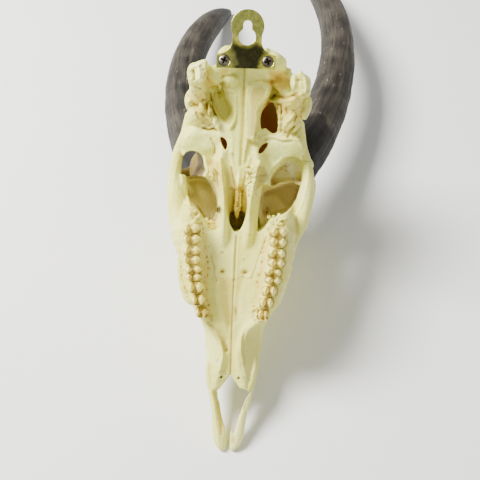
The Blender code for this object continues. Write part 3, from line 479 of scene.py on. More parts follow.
OVAL_RIGHT = (
    (267.8, 141.3), (266.5, 146), (263, 150.8), (259.8, 153), (258, 151.5), (259, 147.5),
    (262.3, 143.3),
)
BOWL_RIM = (
    (210.5, 92), (216, 89.5), (221.5, 92.5), (226.5, 98.5), (230.5, 104.5), (233.3, 110), (234, 115.5),
    (232, 122), (228.5, 126), (222, 124), (217.5, 119), (214, 111.5), (210.5, 104),
)
BOWL_DEEP = (
    (211, 95), (215, 93), (219, 96), (222.5, 101), (225, 106), (226.5, 111), (226.5, 115), (225, 119),
    (222.5, 120), (219.5, 118.5), (216.5, 114.5), (213, 109), (210.5, 103),
)
HIND_HOLLOW = ((270.5, 74), (280, 72.5), (289, 77), (289, 90), (280, 93), (271, 90))
HIND_DEEP = ((272.5, 77), (279, 75.5), (285.5, 79.5), (285.5, 88), (279, 89.5), (273, 87))
DIASTEMA_HOLE = ((217.2, 359.8), (218.8, 359.8), (219.2, 362.5), (218, 363.6), (216.9, 362))
CURVED_SLOT = (
    (285.3, 134), (286, 130), (289, 126), (293, 122.3), (294.6, 123.6), (291.8, 128), (289.8, 132),
    (289, 136), (286.5, 136.3),
)

# The room between and outside the tips of the two front bones.
ROD_TRIM = (
    (226, 391), (249, 391), (245.4, 400), (242, 409), (239, 418), (236.6, 426), (235, 431.5),
    (233, 434.2), (231.9, 433.5), (231.3, 429), (230.4, 428.6), (229.6, 433.5), (226, 434.5),
)
# The right cheek's outer edge, as an area with nothing in it.
TRIM_CHEEK = (
    (313, 221), (330, 221), (330, 267), (292.4, 267), (293, 259), (293.8, 252), (295.4, 246),
    (297.8, 241), (301, 236), (304.8, 231), (308.5, 226),
)
# Ridges as rows of (pixel across, pixel down, height, half width, half height in millimetres).
VOMER_RIDGE = (
    (239.0, 178, 12.5, 1.0, 2.0),
    (238.2, 190, 10.5, 1.3, 2.8),
    (237.8, 199, 9.6, 1.4, 3.4),
    (237.4, 207, 9.2, 1.6, 3.8),
    (237.0, 212, 11, 1.4, 3.6),
    (236.8, 215, 15, 1.0, 3.2),
)
ARCH_FLANGE = (
    (181.6, 176, 28.6, 3.2, 3.8),
    (181.8, 183, 28.2, 3.5, 4.2),
    (182.4, 190, 27.8, 3.4, 4.2),
    (183.4, 197, 27.4, 2.9, 3.6),
)
SPLINTER_ROWS = (
    (
        (203.6, 157, 15.5, 0.7, 0.9), (205.0, 161, 14.5, 0.8, 1.0), (205.6, 166, 13.8, 0.9, 1.1),
        (207.6, 170.5, 13.4, 1.1, 1.2), (206.4, 175, 14.0, 1.6, 1.3), (203.4, 175.6, 15.0, 0.8, 0.9)),
    (
        (211.6, 166, 13.4, 0.6, 0.9), (213.2, 170, 12.4, 0.8, 1.0), (212.0, 174, 12.6, 0.8, 1.0),
        (213.0, 178, 12.4, 0.9, 1.0), (210.8, 179.6, 13.0, 0.8, 0.9)),
)
# Where loose crumbs of bone lie: the least and the greatest (pixel across, pixel down, height), and how many.
CRUMB_PLACES = (
    ((205.5, 217.5, 24), (210, 222, 30), 5),
    ((207, 221, 15), (217, 228, 24), 11),
    ((209, 226, 8), (216, 230, 14), 5),
    ((192, 208, 3), (200, 216, 8), 6),
    ((268, 214, 4), (281, 220, 9), 7),
    ((249, 170, 6), (254, 194, 8), 9),
)
# The fuller flank of the left cheek, in the same kind of rows as VOMER_RIDGE.
CHEEK_FLANK = (
    (184.5, 243, 13, 2.0, 7),
    (182.8, 256, 12, 2.4, 8),
    (182.2, 268, 11, 2.6, 8),
    (183.2, 280, 10, 2.4, 7),
    (186.5, 293, 9, 2.2, 6),
    (191.5, 304, 8, 1.8, 5),
)

# Small raised pieces, in pixels of the photograph.
KNOB_LEFT = (
    (188.6, 69), (190.5, 65.5), (195.5, 63), (200.5, 61.2), (203.3, 62.6), (203.8, 69), (202.6, 76),
    (201, 82), (197, 83.6), (191, 83), (188.5, 78),
)
KNOB_RIGHT = (
    (291.5, 73.5), (295, 71.3), (300, 70.8), (304.5, 73), (307.3, 77.5), (307.4, 85), (306.6, 92),
    (301, 94.6), (295.6, 94), (291.4, 91.5), (290.8, 82),
)
BUMPS_LEFT = (
    (190.6, 84.4), (194, 86), (196, 95), (194.5, 105), (189.4, 105.4), (186.3, 103.4), (186.2, 98.4),
    (187.6, 94.4), (186.1, 90), (187.5, 86.5),
)
BUMPS_RIGHT = (
    (301, 95), (305.5, 92.5), (308.6, 96.5), (308.6, 105), (305.8, 113), (303, 117), (300, 114),
    (299.4, 104),
)
# A nerve's way through the left orbit's inner wall.
NERVE_HOLE = ((217, 208.4), (219.8, 208), (220, 211), (218, 212.6), (216.3, 211.3))

# Outer edges that the photograph gives, as areas with nothing in them.
TRIM_LEFT = (
    (202, 36), (233, 36), (229, 45.5), (222, 46.5), (217.5, 49), (214.3, 53), (213, 58), (213.5, 65),
    (208.5, 67.5), (204.2, 65.5), (203.6, 60),
)
TRIM_RIGHT = (
    (263, 38), (296, 38), (296, 66), (292, 71.5), (287.6, 71), (287.4, 65), (285.5, 60.5),
    (279.5, 54.5), (272, 50), (265, 47),
)

# The eyes' rooms: how far up the rim's outline reaches, outlines of the rim, wall and roof, and the
# height of the roof.
EYE_ROOMS = (
    (10, ORBIT_RIM_LEFT, ORBIT_WALL_LEFT, ORBIT_ROOF_LEFT, 58.5),
    (8, ORBIT_RIM_RIGHT, ORBIT_WALL_RIGHT, ORBIT_ROOF_RIGHT, 58),
)
TEMPLES = (
    (
        (-14, TEMPLE_RIM_LEFT), (28, TEMPLE_RIM_LEFT), (36, TEMPLE_WALL_LEFT), (52, TEMPLE_EXIT_LEFT),
        (90, TEMPLE_EXIT_LEFT)),
    ((-14, TEMPLE_RIM_RIGHT), (28, TEMPLE_RIM_RIGHT), (44, TEMPLE_WALL_RIGHT)),
)
# Hollows whose outline changes with height, and straight holes from one height to another.
HOLLOWS = (
    ((-10, THROAT_RIM), (2, THROAT_RIM), (13.5, THROAT_WALL), (15, THROAT_DEEP), (26, THROAT_DEEP)),
    ((2, EAR_GAP), (34, EAR_GAP)),
    ((-4, BOWL_RIM), (12, BOWL_RIM), (19.5, BOWL_DEEP)),
    ((-4, HIND_HOLLOW), (6, HIND_HOLLOW), (9.5, HIND_DEEP)),
)
STRAIGHT_HOLES = (
    (16, 46, NERVE_HOLE),
    (-20, 24, ROD_TRIM),
    (-20, 40, TRIM_CHEEK),
    (-4, 14, DIASTEMA_HOLE),
    (4, 32, OVAL_LEFT),
    (4, 32, OVAL_RIGHT),
    (2, 17, CURVED_SLOT),
    (-20, 34, TRIM_LEFT),
    (-20, 34, TRIM_RIGHT),
)
# Raised pieces: low, high and outline. Balls beside the condyles: place in the photograph and radii.
LUMPS = ((-9, 8, KNOB_LEFT), (-8, 9, KNOB_RIGHT), (8, 20, BUMPS_LEFT), (11.5, 22, BUMPS_RIGHT))
JUGULAR_LUMPS = (((208.5, 76, 10), (7, 7, 7)), ((284, 79, 12), (9, 8, 6)))

# Lines in the bone, as seen in the photograph: height in millimetres (below zero for a groove), width in
# pixels, how far it stains the bone (along sutures a dark joint, along grooves partly painted shade), and
# points in pixels.
PHOTO_LINES = (
    # The palate's sutures and grooves.
    (-0.5, 1.0, 0.45, ((236.6, 236), (235.4, 255), (234.4, 280))),
    (0.45, 1.1, 0.0, ((234.4, 235), (233.2, 255), (232.2, 280))),
    (0.35, 1.1, 0.0, ((238.8, 236), (237.6, 255), (236.6, 280))),
    (-0.8, 0.7, 0.8, ((234.2, 280), (232.8, 300), (232, 330), (231.2, 352), (230.4, 374))),
    (-0.3, 0.7, 0.45, ((210.5, 254), (212, 261), (214.5, 267), (214.2, 274), (216.5, 281))),
    (-0.4, 0.7, 0.5, ((266, 238), (262.5, 248), (260, 254), (257, 262), (255.5, 268), (251.5, 279))),
    (-0.25, 0.7, 0.3, ((216, 281), (219, 275), (222, 271), (226, 276), (229, 279), (232.5, 280))),
    (-0.25, 0.7, 0.35, ((233, 279), (238, 279.5), (241, 277), (244, 277.5), (247, 279), (251.5, 278))),
    (-0.8, 3.0, 0.15, ((222.5, 272), (225, 280), (227, 292), (229, 310), (229.5, 325))),
    (-0.6, 2.8, 0.1, ((245.5, 273), (241, 284), (238, 300), (236.5, 320))),
    # The floor of the braincase.
    (-1.2, 1.9, 0.25, ((244.8, 66), (244, 90), (243, 120), (241.8, 150), (241, 165))),
    (0.9, 1.2, 0.0, ((258, 140), (250, 139), (246.6, 136), (246.2, 120), (245.9, 100), (247, 90))),
    (0.9, 1.2, 0.0, ((247, 90), (249, 86), (253, 83.4), (260, 82.6), (269.3, 84))),
    (0.9, 2.6, 0.0, ((228, 124), (232, 138), (231.5, 152))),
    (1.2, 1.5, 0.0, ((235.5, 96), (235.5, 110), (233.6, 122), (230, 128))),
    (0.9, 1.6, 0.0, ((231, 152), (234, 170), (237.6, 188))),
    (0.9, 1.6, 0.0, ((247.5, 139), (244.5, 152), (243.6, 160))),
    (0.8, 1.6, 0.0, ((250, 158), (246, 170), (241.5, 188))),
    (-0.9, 1.2, 0.7, ((231.8, 168), (233.5, 178), (235.5, 188), (236.6, 196))),
    (-0.9, 1.2, 0.7, ((247, 168), (244.6, 178), (242.6, 188), (241, 198))),
    (-0.6, 1.4, 1.0, ((234.6, 196), (233.8, 206), (233.4, 214))),
    (-0.6, 1.2, 1.0, ((240.6, 192), (241.2, 202), (241.4, 212))),
    (1.2, 1.8, 0.0, ((221.5, 79.5), (226, 77.2), (232, 77.5), (237, 80))),
    (-1.5, 1.7, 0.35, ((221.6, 84), (225, 83.5), (229, 86))),
    (0.8, 1.4, 0.0, ((220.5, 88), (226, 89.5), (233, 92))),
    # The left ear.
    (-2.6, 1.3, 0.9, ((210.4, 93), (211.6, 100), (210.6, 105), (213.4, 110), (216, 116.5))),
    (1.3, 1.2, 0.0, ((208.2, 92), (208.8, 99), (208, 104), (210.6, 111), (213.4, 118))),
    (-1.3, 1.0, 0.5, ((205.5, 98), (207, 104), (208.2, 109))),
    (1.0, 1.5, 0.0, ((190, 92), (197, 99), (203, 107), (208, 116), (214, 125))),
    (-0.8, 1.4, 0.25, ((189, 97), (195, 104), (200.5, 112), (206, 120))),
    (0.8, 1.6, 0.0, ((188, 103), (193, 110), (198, 118), (203, 126))),
    (-0.9, 1.2, 0.35, ((196, 113), (199, 118.5))),
    (1.0, 1.2, 0.0, ((199, 89), (204, 93), (205.4, 98))),
    (1.3, 1.2, 0.0, ((198, 125.6), (204, 124.6), (209, 127.4), (215, 125.6), (219, 128.6))),
    (-1.5, 1.0, 0.7, ((203, 127.8), (208, 129.8), (213, 128.6), (217, 130.4))),
    (1.2, 1.4, 0.0, (
        (214, 89.6), (221, 90), (227.6, 97), (232.6, 105), (235, 113), (234.4, 120), (231, 126))),
    (-0.9, 1.3, 0.4, ((190, 84.8), (195, 86), (200, 88.5))),
    # The left knob.
    (1.0, 1.6, 0.0, ((198.4, 66), (199.6, 73), (199.6, 81))),
    (0.8, 1.4, 0.0, ((189.6, 70), (194, 66.6), (200, 63.4))),
    (-1.8, 1.3, 0.8, ((193.4, 70.6), (194.6, 75), (194.2, 79))),
    (-0.8, 1.6, 0.3, ((204, 70), (207.5, 78), (212, 85), (217, 88))),
    (0.8, 2.0, 0.0, ((207, 70), (211, 76), (216.6, 82.5))),
    # The right ear.
    (-2.2, 1.7, 0.75, ((271.4, 98.6), (274.6, 95.8), (278.6, 96.6), (284, 97.6), (290, 97), (296, 94))),
    (1.6, 1.9, 0.0, ((271.6, 101.4), (277, 100.4), (282, 100.6))),
    (-1.8, 1.2, 0.7, ((278.4, 104.4), (281.6, 105), (282, 110), (281, 114))),
    (-1.4, 1.1, 0.6, ((277.6, 107.6), (278.6, 112), (277.8, 118))),
    (1.0, 1.2, 0.0, ((279.8, 107), (280, 112), (279.4, 118))),
    (1.2, 1.6, 0.0, ((284, 103), (285.6, 109), (289, 112), (295, 112), (299, 108))),
    (-1.1, 1.1, 0.5, ((285.6, 108.6), (287.6, 111.6))),
    (1.0, 1.5, 0.0, ((285, 101.4), (291, 100.4), (299, 101))),
    (1.1, 1.4, 0.0, ((283, 134), (283.4, 128), (287, 122.6), (291.6, 118.6), (294.6, 114.6))),
    (1.0, 1.4, 0.0, ((291.6, 136), (294, 130), (296.6, 125))),
    (0.9, 1.5, 0.0, ((277.6, 132), (279.8, 124), (279.6, 117))),
    (-1.3, 1.2, 0.6, ((295, 121), (296, 117.6), (296.6, 116.6))),
    # The right knob.
    (0.8, 1.6, 0.0, ((294.6, 76), (294.8, 82), (293.8, 88), (292, 93))),
    (-0.5, 1.2, 0.2, ((299, 80), (298.4, 87))),
    (0.9, 1.8, 0.0, ((300, 73), (305, 76.6), (306, 84), (306, 92))),
    (0.9, 1.6, 0.0, ((301, 95), (306, 99), (306, 107), (303, 114))),
    # The jaw joints and the arches.
    (0.7, 1.4, 0.0, ((206, 133), (214, 136.4), (219, 143), (222, 152), (220, 160))),
    (-0.9, 1.2, 0.5, ((211, 139), (215, 146), (214.6, 153))),
    (0.9, 1.3, 0.0, ((263, 137), (272, 136), (281, 139.6), (290, 138.6), (300, 140))),
    (-0.7, 1.2, 0.4, ((266, 140), (275, 139), (283, 142.5), (292, 141.4))),
    (0.7, 1.5, 0.0, (
        (204, 155), (197, 151), (189, 150.6), (183.6, 154), (180.6, 161), (180.6, 172), (182.6, 181))),
    (0.6, 1.5, 0.0, ((266, 176), (273, 167), (281, 159.6), (291, 157.4), (299, 160), (304.6, 167))),
    (0.55, 1.3, 0.0, ((197, 128), (188, 138), (180, 152), (175, 168), (172.5, 186), (172, 204))),
    (-0.45, 1.1, 0.2, ((195, 131), (186, 141), (178.5, 155), (174, 170), (171.4, 187))),
    (0.5, 1.3, 0.0, (
        (296, 136), (303, 148), (307.5, 160), (309, 172), (307, 186), (302, 204), (295, 218))),
    (-0.4, 1.1, 0.2, ((299, 137), (306, 149), (310, 160), (311.5, 172))),
    (0.6, 1.2, 0.0, ((300.6, 186), (297, 196), (293, 206), (288, 212))),
    (-0.5, 1.1, 0.2, ((304, 187), (300.6, 197), (297, 207), (291, 216))),
    (0.5, 1.4, 0.0, ((181, 184), (182.6, 196), (185.6, 206), (192, 212))),
    # The gap in front of the teeth, with its crests, and the two front prongs.
    (0.9, 1.3, 0.0, (
        (204, 323), (210, 328.5), (215, 334), (220.5, 341), (222.6, 350), (222.4, 358), (219, 371))),
    (-1.9, 2.6, 0.6, ((207.6, 323), (214, 327.5), (219.6, 333), (224.2, 341), (226, 350))),
    (0.7, 1.2, 0.0, (
        (250, 323.5), (243.4, 330), (240.8, 338), (240.8, 350), (242.4, 362), (245.6, 376))),
    (-0.5, 1.4, 0.1, ((245, 330), (243.2, 340), (243.4, 352), (245, 364))),
    (0.4, 1.1, 0.0, ((214.5, 374), (220, 370), (225, 363), (228, 352))),
    (-0.8, 1.2, 0.9, ((244.4, 409), (245.8, 404), (247, 400))),
    (0.5, 1.0, 0.0, ((211.5, 392), (214.4, 410), (216.6, 428), (218.6, 442))),
    (-0.7, 1.3, 0.35, ((216.6, 397), (219.4, 412), (221.4, 424), (221.6, 434))),
)
# Pits, holes and knobs: height, two radii in pixels, stain, and the middle in pixels. From a stain of one up,
# the hole is painted near black as painted shade.
PHOTO_SPOTS = (
    (-1.3, 2.6, 1.9, 0.3, (222.8, 271.5)),
    (-1.4, 2.8, 1.9, 0.35, (245.5, 272.5)),
    (-0.8, 1.2, 1.2, 0.4, (222.5, 253)),
    (-0.6, 0.9, 0.9, 0.3, (244, 260)),
    (-0.6, 0.9, 0.7, 0.3, (250, 235.5)),
    (-1.8, 2.0, 2.3, 3.0, (218.3, 209.8)),
    (-1.4, 2.2, 2.6, 4.0, (266.5, 212.4)),
    (-0.8, 1.2, 1.1, 3.0, (267.2, 208.4)),
    (-3.0, 0.9, 0.9, 1.3, (221.2, 377)),
    (-3.0, 0.9, 0.9, 1.3, (238.8, 378.2)),
    (1.9, 2.4, 1.9, 0.0, (274.8, 83.4)),
    (1.4, 3.4, 2.6, 0.0, (289, 104.6)),
    (0.9, 3.0, 3.4, 0.0, (301, 121)),
    (1.2, 2.2, 2.8, 0.0, (288, 89)),
    (1.8, 2.6, 2.8, 0.0, (188.6, 89.6)),
    (1.8, 2.8, 2.6, 0.0, (188.6, 101.4)),
    (-1.2, 1.4, 1.0, 0.4, (188.4, 95.4)),
    (1.4, 1.7, 1.7, 0.0, (206.4, 102.4)),
    (1.1, 6.0, 3.4, 0.0, (229, 81)),
    (1.0, 9.0, 4.0, 0.0, (214, 73)),
    (1.0, 6.0, 5.0, 0.0, (278, 88)),
    (-1.6, 9.0, 8.0, 0.0, (202, 142)),
    (-1.2, 12.0, 8.0, 0.0, (281, 152)),
    (-1.6, 1.8, 1.8, 0.7, (262.5, 311)),
    (1.2, 1.3, 3.2, 0.0, (212.8, 167)),
    (1.0, 1.2, 2.0, 0.0, (212, 177.4)),
    (-0.8, 1.6, 4.0, 0.3, (236, 312)),
    (0.7, 2.0, 3.2, 0.0, (231, 438)),
)
# Rough and crumbly places: height of the crumbs, their size in millimetres, how much the low places between
# the crumbs darken, and an outline in pixels.
PHOTO_ROUGH = (
    (0.4, 1.7, 0.2, ((186, 84), (209, 88), (215, 112), (222, 131), (200, 131), (185, 108))),
    (0.4, 1.7, 0.2, ((277, 94), (309, 90), (307, 126), (292, 139), (270, 136), (277, 118))),
    (0.9, 1.5, 0.35, ((189, 209), (199, 207), (203, 214), (204, 223), (198, 227), (190, 222))),
    (0.9, 1.2, 0.3, ((204, 216), (214, 216), (219, 224), (217, 231), (208, 230))),
    (0.9, 1.5, 0.35, ((264, 228), (270, 218), (282, 214), (288, 218), (284, 230), (272, 234))),
    (0.9, 1.4, 0.3, ((196, 308), (206, 306), (213, 318), (209, 323), (198, 318))),
    (1.0, 1.4, 0.4, ((253, 306), (270, 305), (268, 320), (256, 324), (250, 318))),
    (0.2, 0.9, 0.1, ((203, 364), (228, 364), (231, 376), (214, 392), (205, 390))),
    (0.2, 0.9, 0.1, ((232, 374), (256, 366), (256, 392), (246, 392))),
    (0.35, 1.6, 0.15, ((187, 61), (206, 61), (206, 86), (187, 86))),
    (0.4, 1.5, 0.2, ((288, 70), (310, 70), (310, 94), (288, 94))),
    (1.1, 1.5, 0.35, ((247, 166), (256, 166), (257, 197), (249, 199), (245, 186))),
    (0.8, 1.2, 0.6, ((233, 186), (243, 186), (243, 222), (232, 222))),
    (0.4, 1.5, 0.25, ((206, 160), (222, 160), (223, 200), (212, 190))),
    (0.25, 1.2, 0.1, ((222, 130), (232, 128), (232, 150), (226, 160), (219, 156))),
)
# Raised or sunken areas, stains, and patches of painted shade and painted highlight: height in millimetres,
# colour, its strength, softness in pixels, outline.
PHOTO_AREAS = (
    (1.3, (0.95, 0.92, 0.90), 0.5, 1.8, (
        (247, 91), (248.5, 87), (252, 84), (258, 83), (269, 84.5), (268.3, 93), (267, 98),
        (262.5, 102), (259.5, 106), (257.4, 112), (257.4, 139), (250, 139), (246.8, 136), (246.4, 120),
        (246, 100))),
    # Painted shade inside the basilar plate.
    (0.0, (0.62, 0.54, 0.38), 0.85, 2.5, (
        (250.5, 92), (254, 87.5), (262, 86.5), (266, 90), (264, 98), (259, 103), (256, 110),
        (255.5, 136), (250.5, 136), (250, 120))),
    # Painted highlight on the left knob and on the right prong.
    (0.0, (1.15, 1.15, 1.6), 1.0, 3.0, ((190, 64), (203, 61), (204, 80), (196, 84), (189, 80))),
    (0.0, (1.12, 1.12, 1.5), 1.0, 3.0, ((238, 396), (252, 392), (247, 440), (232, 448))),
    (0.0, ORANGE, 0.6, 1.5, ((230, 434), (234, 433), (235, 443), (231, 444))),
    (0.0, TAN, 0.8, 2.0, ((208, 160), (222, 162), (223, 180), (219, 200), (212, 182), (207, 170))),
    # Painted highlight beside the left temple's rim.
    (0.0, (1.12, 1.12, 1.4), 0.9, 1.2, (
        (203, 156), (206, 160), (209, 171), (208, 177), (203, 177), (204, 164))),
    (0.0, (0.74, 0.76, 0.62), 0.8, 5.0, ((272, 144), (294, 142), (298, 154), (284, 158), (273, 160))),
    # Painted shade in the left ear's bowl.
    (0.0, (0.68, 0.64, 0.50), 0.8, 3.0, (
        (210, 92), (219, 92), (231, 106), (233, 118), (226, 124), (217, 119))),
    (0.0, (0.50, 0.36, 0.18), 0.6, 2.0, (
        (205, 92), (212, 94), (214, 106), (217, 119), (210, 116), (206, 104))),
    (0.0, ORANGE, 0.4, 3.0, ((188, 90), (204, 92), (208, 110), (212, 126), (198, 124))),
    (0.0, ORANGE, 0.4, 3.0, ((278, 96), (306, 94), (304, 118), (290, 136), (277, 132))),
    # Painted shade on the palate's left half.
    (0.0, (0.72, 0.62, 0.42), 0.85, 6.0, ((220, 278), (232, 280), (232, 325), (227, 332), (219, 300))),
    (0.0, OLIVE, 0.3, 4.0, ((233, 280), (238, 280), (240, 330), (233, 350))),
    (0.0, ORANGE, 0.85, 2.5, (
        (233, 184), (244, 184), (246, 200), (247, 213), (241, 224), (232, 224), (229, 210))),
    (0.0, (0.40, 0.25, 0.09), 0.85, 2.0, ((232, 187), (242, 187), (243, 220), (231, 220))),
    (0.0, TAN, 0.35, 3.0, ((224, 168), (232, 168), (236, 190), (229, 212), (224, 200))),
    (0.0, TAN, 0.45, 3.0, ((246, 190), (250, 194), (249, 210), (244, 218), (243, 200))),
    # Painted shade in the left ear's bowl, greyer and olive.
    (0.0, GREEN_GREY, 0.8, 3.0, ((212, 92), (222, 94), (231, 106), (233, 116), (229, 124), (219, 120))),
    (0.0, OLIVE, 0.9, 3.0, ((212, 92), (222, 94), (231, 106), (233, 116), (229, 124), (219, 120))),
    (0.0, GREEN_GREY, 0.7, 5.0, (
        (222, 70), (246, 70), (246, 135), (244, 170), (238, 178), (228, 140), (236, 110))),
    (0.0, GREEN_GREY, 0.8, 5.0, (
        (268, 142), (298, 142), (300, 158), (284, 158), (272, 166), (266, 156))),
    (0.0, GREEN_GREY, 0.8, 5.0, (
        (190, 134), (204, 132), (212, 138), (213, 150), (203, 154), (187, 150))),
    (0.0, ORANGE, 0.8, 4.0, ((269, 70), (288, 72), (290, 84), (282, 92), (270, 92))),
    (0.0, BROWN, 0.35, 3.0, ((270, 73), (282, 74), (284, 82), (271, 84))),
    (0.0, ORANGE, 0.5, 3.0, ((203, 68), (209, 68), (219, 86), (206, 90), (202, 80))),
    (0.0, ORANGE, 0.6, 2.0, ((220, 69), (229, 69), (227, 75), (223, 77))),
    (0.0, TAN, 0.6, 4.0, ((209, 162), (222, 162), (222, 182), (214, 186), (209, 180))),
    (0.0, BROWN, 0.5, 3.0, ((255, 166), (264, 166), (269, 178), (262, 186), (256, 190))),
    (0.0, (1.02, 0.92, 1.35), 1.0, 3.0, (
        (268, 180), (280, 164), (292, 161), (301, 166), (301, 184), (284, 182))),
    (0.0, ORANGE, 0.35, 4.0, (
        (196, 232), (204, 230), (209, 262), (208, 290), (212, 316), (206, 318), (202, 285))),
    (0.0, ORANGE, 0.45, 4.0, ((264, 236), (270, 236), (263, 290), (258, 310), (253, 308), (257, 280))),
    (0.0, TAN, 0.85, 1.8, ((213.5, 391), (218, 392), (222.6, 415), (223, 432), (220, 438), (217, 420))),
    # Painted shade on the right flanks of the gap before the teeth and of the cheek.
    (0.0, FLANK_SHADE, 0.8, 3.0, ((246, 330), (262, 324), (256, 372), (250, 388), (244, 362), (242, 344))),
    (0.0, FLANK_SHADE, 0.6, 4.0, ((284, 232), (300, 214), (296, 250), (280, 300), (268, 330), (272, 290))),
    # Painted shade on the slope inside the left crest.
    (0.0, (0.62, 0.58, 0.46), 0.8, 3.0, (
        (206, 322), (213, 325), (220, 333), (224, 343), (225, 351), (221, 346), (213, 335))),
    (0.0, ORANGE, 0.7, 2.0, ((206, 220), (214, 219), (218, 226), (216, 230), (209, 229))),
    (0.0, ORANGE, 0.6, 2.0, ((190, 216), (197, 214), (199, 219), (193, 220))),
)
# Painted shade inside the rooms, darkest where they lie deep and painted shadow where a shadow falls, from
# this height up in the skull: height, colour, strength, outline.
ROOM_SHADES = (
    (28.0, (0.52, 0.42, 0.36), 0.95, ((182, 176), (224, 176), (222, 226), (198, 224), (180, 200))),
    (22.0, (0.90, 0.75, 1.10), 0.85, ((250, 178), (304, 178), (300, 226), (252, 234))),
    (40.0, (0.60, 0.47, 0.58), 0.85, (
        (262, 186), (304, 181), (296, 206), (284, 206), (278, 196), (264, 196))),
    (24.0, (0.22, 0.15, 0.08), 1.0, ((188, 151), (206, 151), (206, 177), (190, 178))),
    (36.0, (0.08, 0.05, 0.03), 0.95, ((178, 150), (191, 150), (191, 178), (180, 181))),
    (17.0, (0.40, 0.25, 0.20), 0.9, ((228, 208), (247, 208), (246, 234), (228, 234))),
)
# Broken, crumbly places on both sides: middle, radii, height of the crumbs and their size, in millimetres.
BROKEN_PLACES = (
    ((28, 206, 15), (11, 17, 13), 0.45, 4.0),
    ((31, 224, 12), (10, 9, 14), 0.3, 5.0),
    ((10, 232, 20), (24, 14, 26), 0.12, 3.0),
)
# Flakes of broken bone in the left ear: place, half sizes and turn.
EAR_FLAKES = (
    ((204, 98, 9.0), (1.4, 4.0, 2.4), (0.2, 0.3, 0.5)),
    ((207.5, 110, 10.5), (1.2, 4.6, 2.2), (0.1, -0.2, 0.45)),
    ((199.5, 108, 9.5), (1.8, 4.2, 2.0), (0.3, 0.1, 0.6)),
    ((213.5, 122.5, 11.0), (1.6, 3.2, 1.8), (0.0, 0.2, 0.9)),
    ((195, 96, 8.5), (2.0, 3.0, 2.2), (0.0, 0.3, 0.3)),
)
# Lines of the sides that the photograph hides: side seen, height, width, stain, zigzag, and points in
# millimetres, given as (x, y) from above, (y, z) from the side and (x, z) from behind. Pairs are mirrored.
SPECIES_LINES = (
    ("top", -0.30, 0.45, 0.75, 0.5, ((0, 62), (0.3, 90), (-0.3, 120), (0, 150), (0, 174))),
    ("top", -0.30, 0.40, 0.5, 0.1, ((0.2, 2), (-0.2, 30), (0, 62))),
    ("top_pair", -0.9, 1.5, 0.1, 0, ((13.5, 136), (12.6, 124), (11.4, 112), (11, 104))),
    ("top_pair", 0.35, 2.2, 0.0, 0, ((9.5, 136), (9, 122), (8, 106))),
    ("top_pair", -1.6, 0.7, 0.8, 0, ((14.2, 100), (15.4, 108), (17.2, 116))),
    ("top_pair", -0.25, 0.45, 0.55, 0.5, ((17.2, 116), (21, 122), (26, 129), (31, 133))),
    ("top_pair", 0.7, 1.6, 0.0, 0, ((18, 188), (16, 200), (13, 212), (9, 222))),
    ("top_pair", -0.25, 0.45, 0.5, 0.6, ((0, 183), (8, 184), (16, 188), (23, 186))),
    ("side", -0.25, 0.45, 0.55, 0.5, ((104, 44), (110, 37), (117, 32), (121, 24), (123, 16))),
    ("side", -0.25, 0.45, 0.5, 0.6, ((177, 34), (184, 47), (197, 55), (211, 51), (222, 42))),
    ("side", 0.6, 1.8, 0.0, 0, ((90, 10), (102, 13), (116, 15), (130, 17))),
    ("side", 0.55, 1.6, 0.0, 0, ((178, 60), (192, 66), (206, 64), (220, 54))),
    ("side", -0.5, 2.0, 0.0, 0, ((60, 10), (72, 13), (84, 15))),
    ("back", 0.9, 1.8, 0.0, 0, ((0, 54), (0, 44), (0, 34))),
    ("back", -0.25, 0.45, 0.3, 0.7, ((7, 57), (14, 54.5), (19, 51), (22, 47))),
    ("back", -0.2, 0.45, 0.22, 0.7, ((-24, 48), (-28, 41), (-30, 33))),
    ("back_pair", 0.7, 1.8, 0.0, 0, ((2, 44), (10, 43), (18, 38), (24, 30))),
)
# Holes and hollows of those sides: side seen, height, two radii, stain, and the middle.
SPECIES_SPOTS = (
    ("top_pair", -2.4, 1.3, 1.7, 0.8, (13.6, 137.5)),
    ("top_pair", -1.0, 0.8, 0.8, 0.6, (10.5, 142)),
    ("side", -1.8, 0.9, 0.9, 0.8, (130.2, 46)),
    ("side", -1.6, 0.8, 0.8, 0.8, (130.0, 40.5)),
    ("side", -1.2, 7.0, 5.0, 0.0, (112, 26)),
    ("back_pair", -1.2, 6.5, 4.5, 0.0, (9.5, 38)),
    ("back", 0.8, 3.0, 2.4, 0.0, (0, 52)),
)
# Small pits along the inner margins of the tooth rows, as lines that they follow.
MARGIN_PITS = (
    ((203.5, 228), (206.5, 245), (208, 262), (206, 280), (205, 292), (208, 305)),
    ((264, 238), (262.5, 255), (260.5, 270), (257, 284), (255, 296), (253.5, 306)),
    ((181, 232), (180, 248), (180.5, 262), (183, 276), (187, 292), (192, 306)),
)


def object_from(name, bm):
    """A new object that holds this bmesh, with its faces pointing out."""
    bmesh.ops.recalc_face_normals(bm, faces=bm.faces)
    mesh = bpy.data.meshes.new(name)
    bm.to_mesh(mesh)
    bm.free()
    obj = bpy.data.objects.new(name, mesh)
    bpy.context.scene.collection.objects.link(obj)
    return obj


def curve_through(points, count, closed=False):
    """Evenly counted points on a smooth curve through the given rows of numbers."""
    rows = np.array(points, float)
    if closed:
        padded = np.vstack([rows[-1:], rows, rows[:2]])
        spans = len(rows)
        places = np.arange(count) / count * spans
    else:
        padded = np.vstack([2 * rows[0] - rows[1], rows, 2 * rows[-1] - rows[-2]])
        spans = len(rows) - 1
        places = np.linspace(0, spans, count)
    span = np.minimum(places.astype(int), spans - 1)
    t = (places - span)[:, None]
    a, b, c, d = (padded[span + k] for k in range(4))
    return 0.5 * (2 * b + (c - a) * t + (2 * a - 5 * b + 4 * c - d) * t**2 + (3 * b - a - 3 * c + d) * t**3)


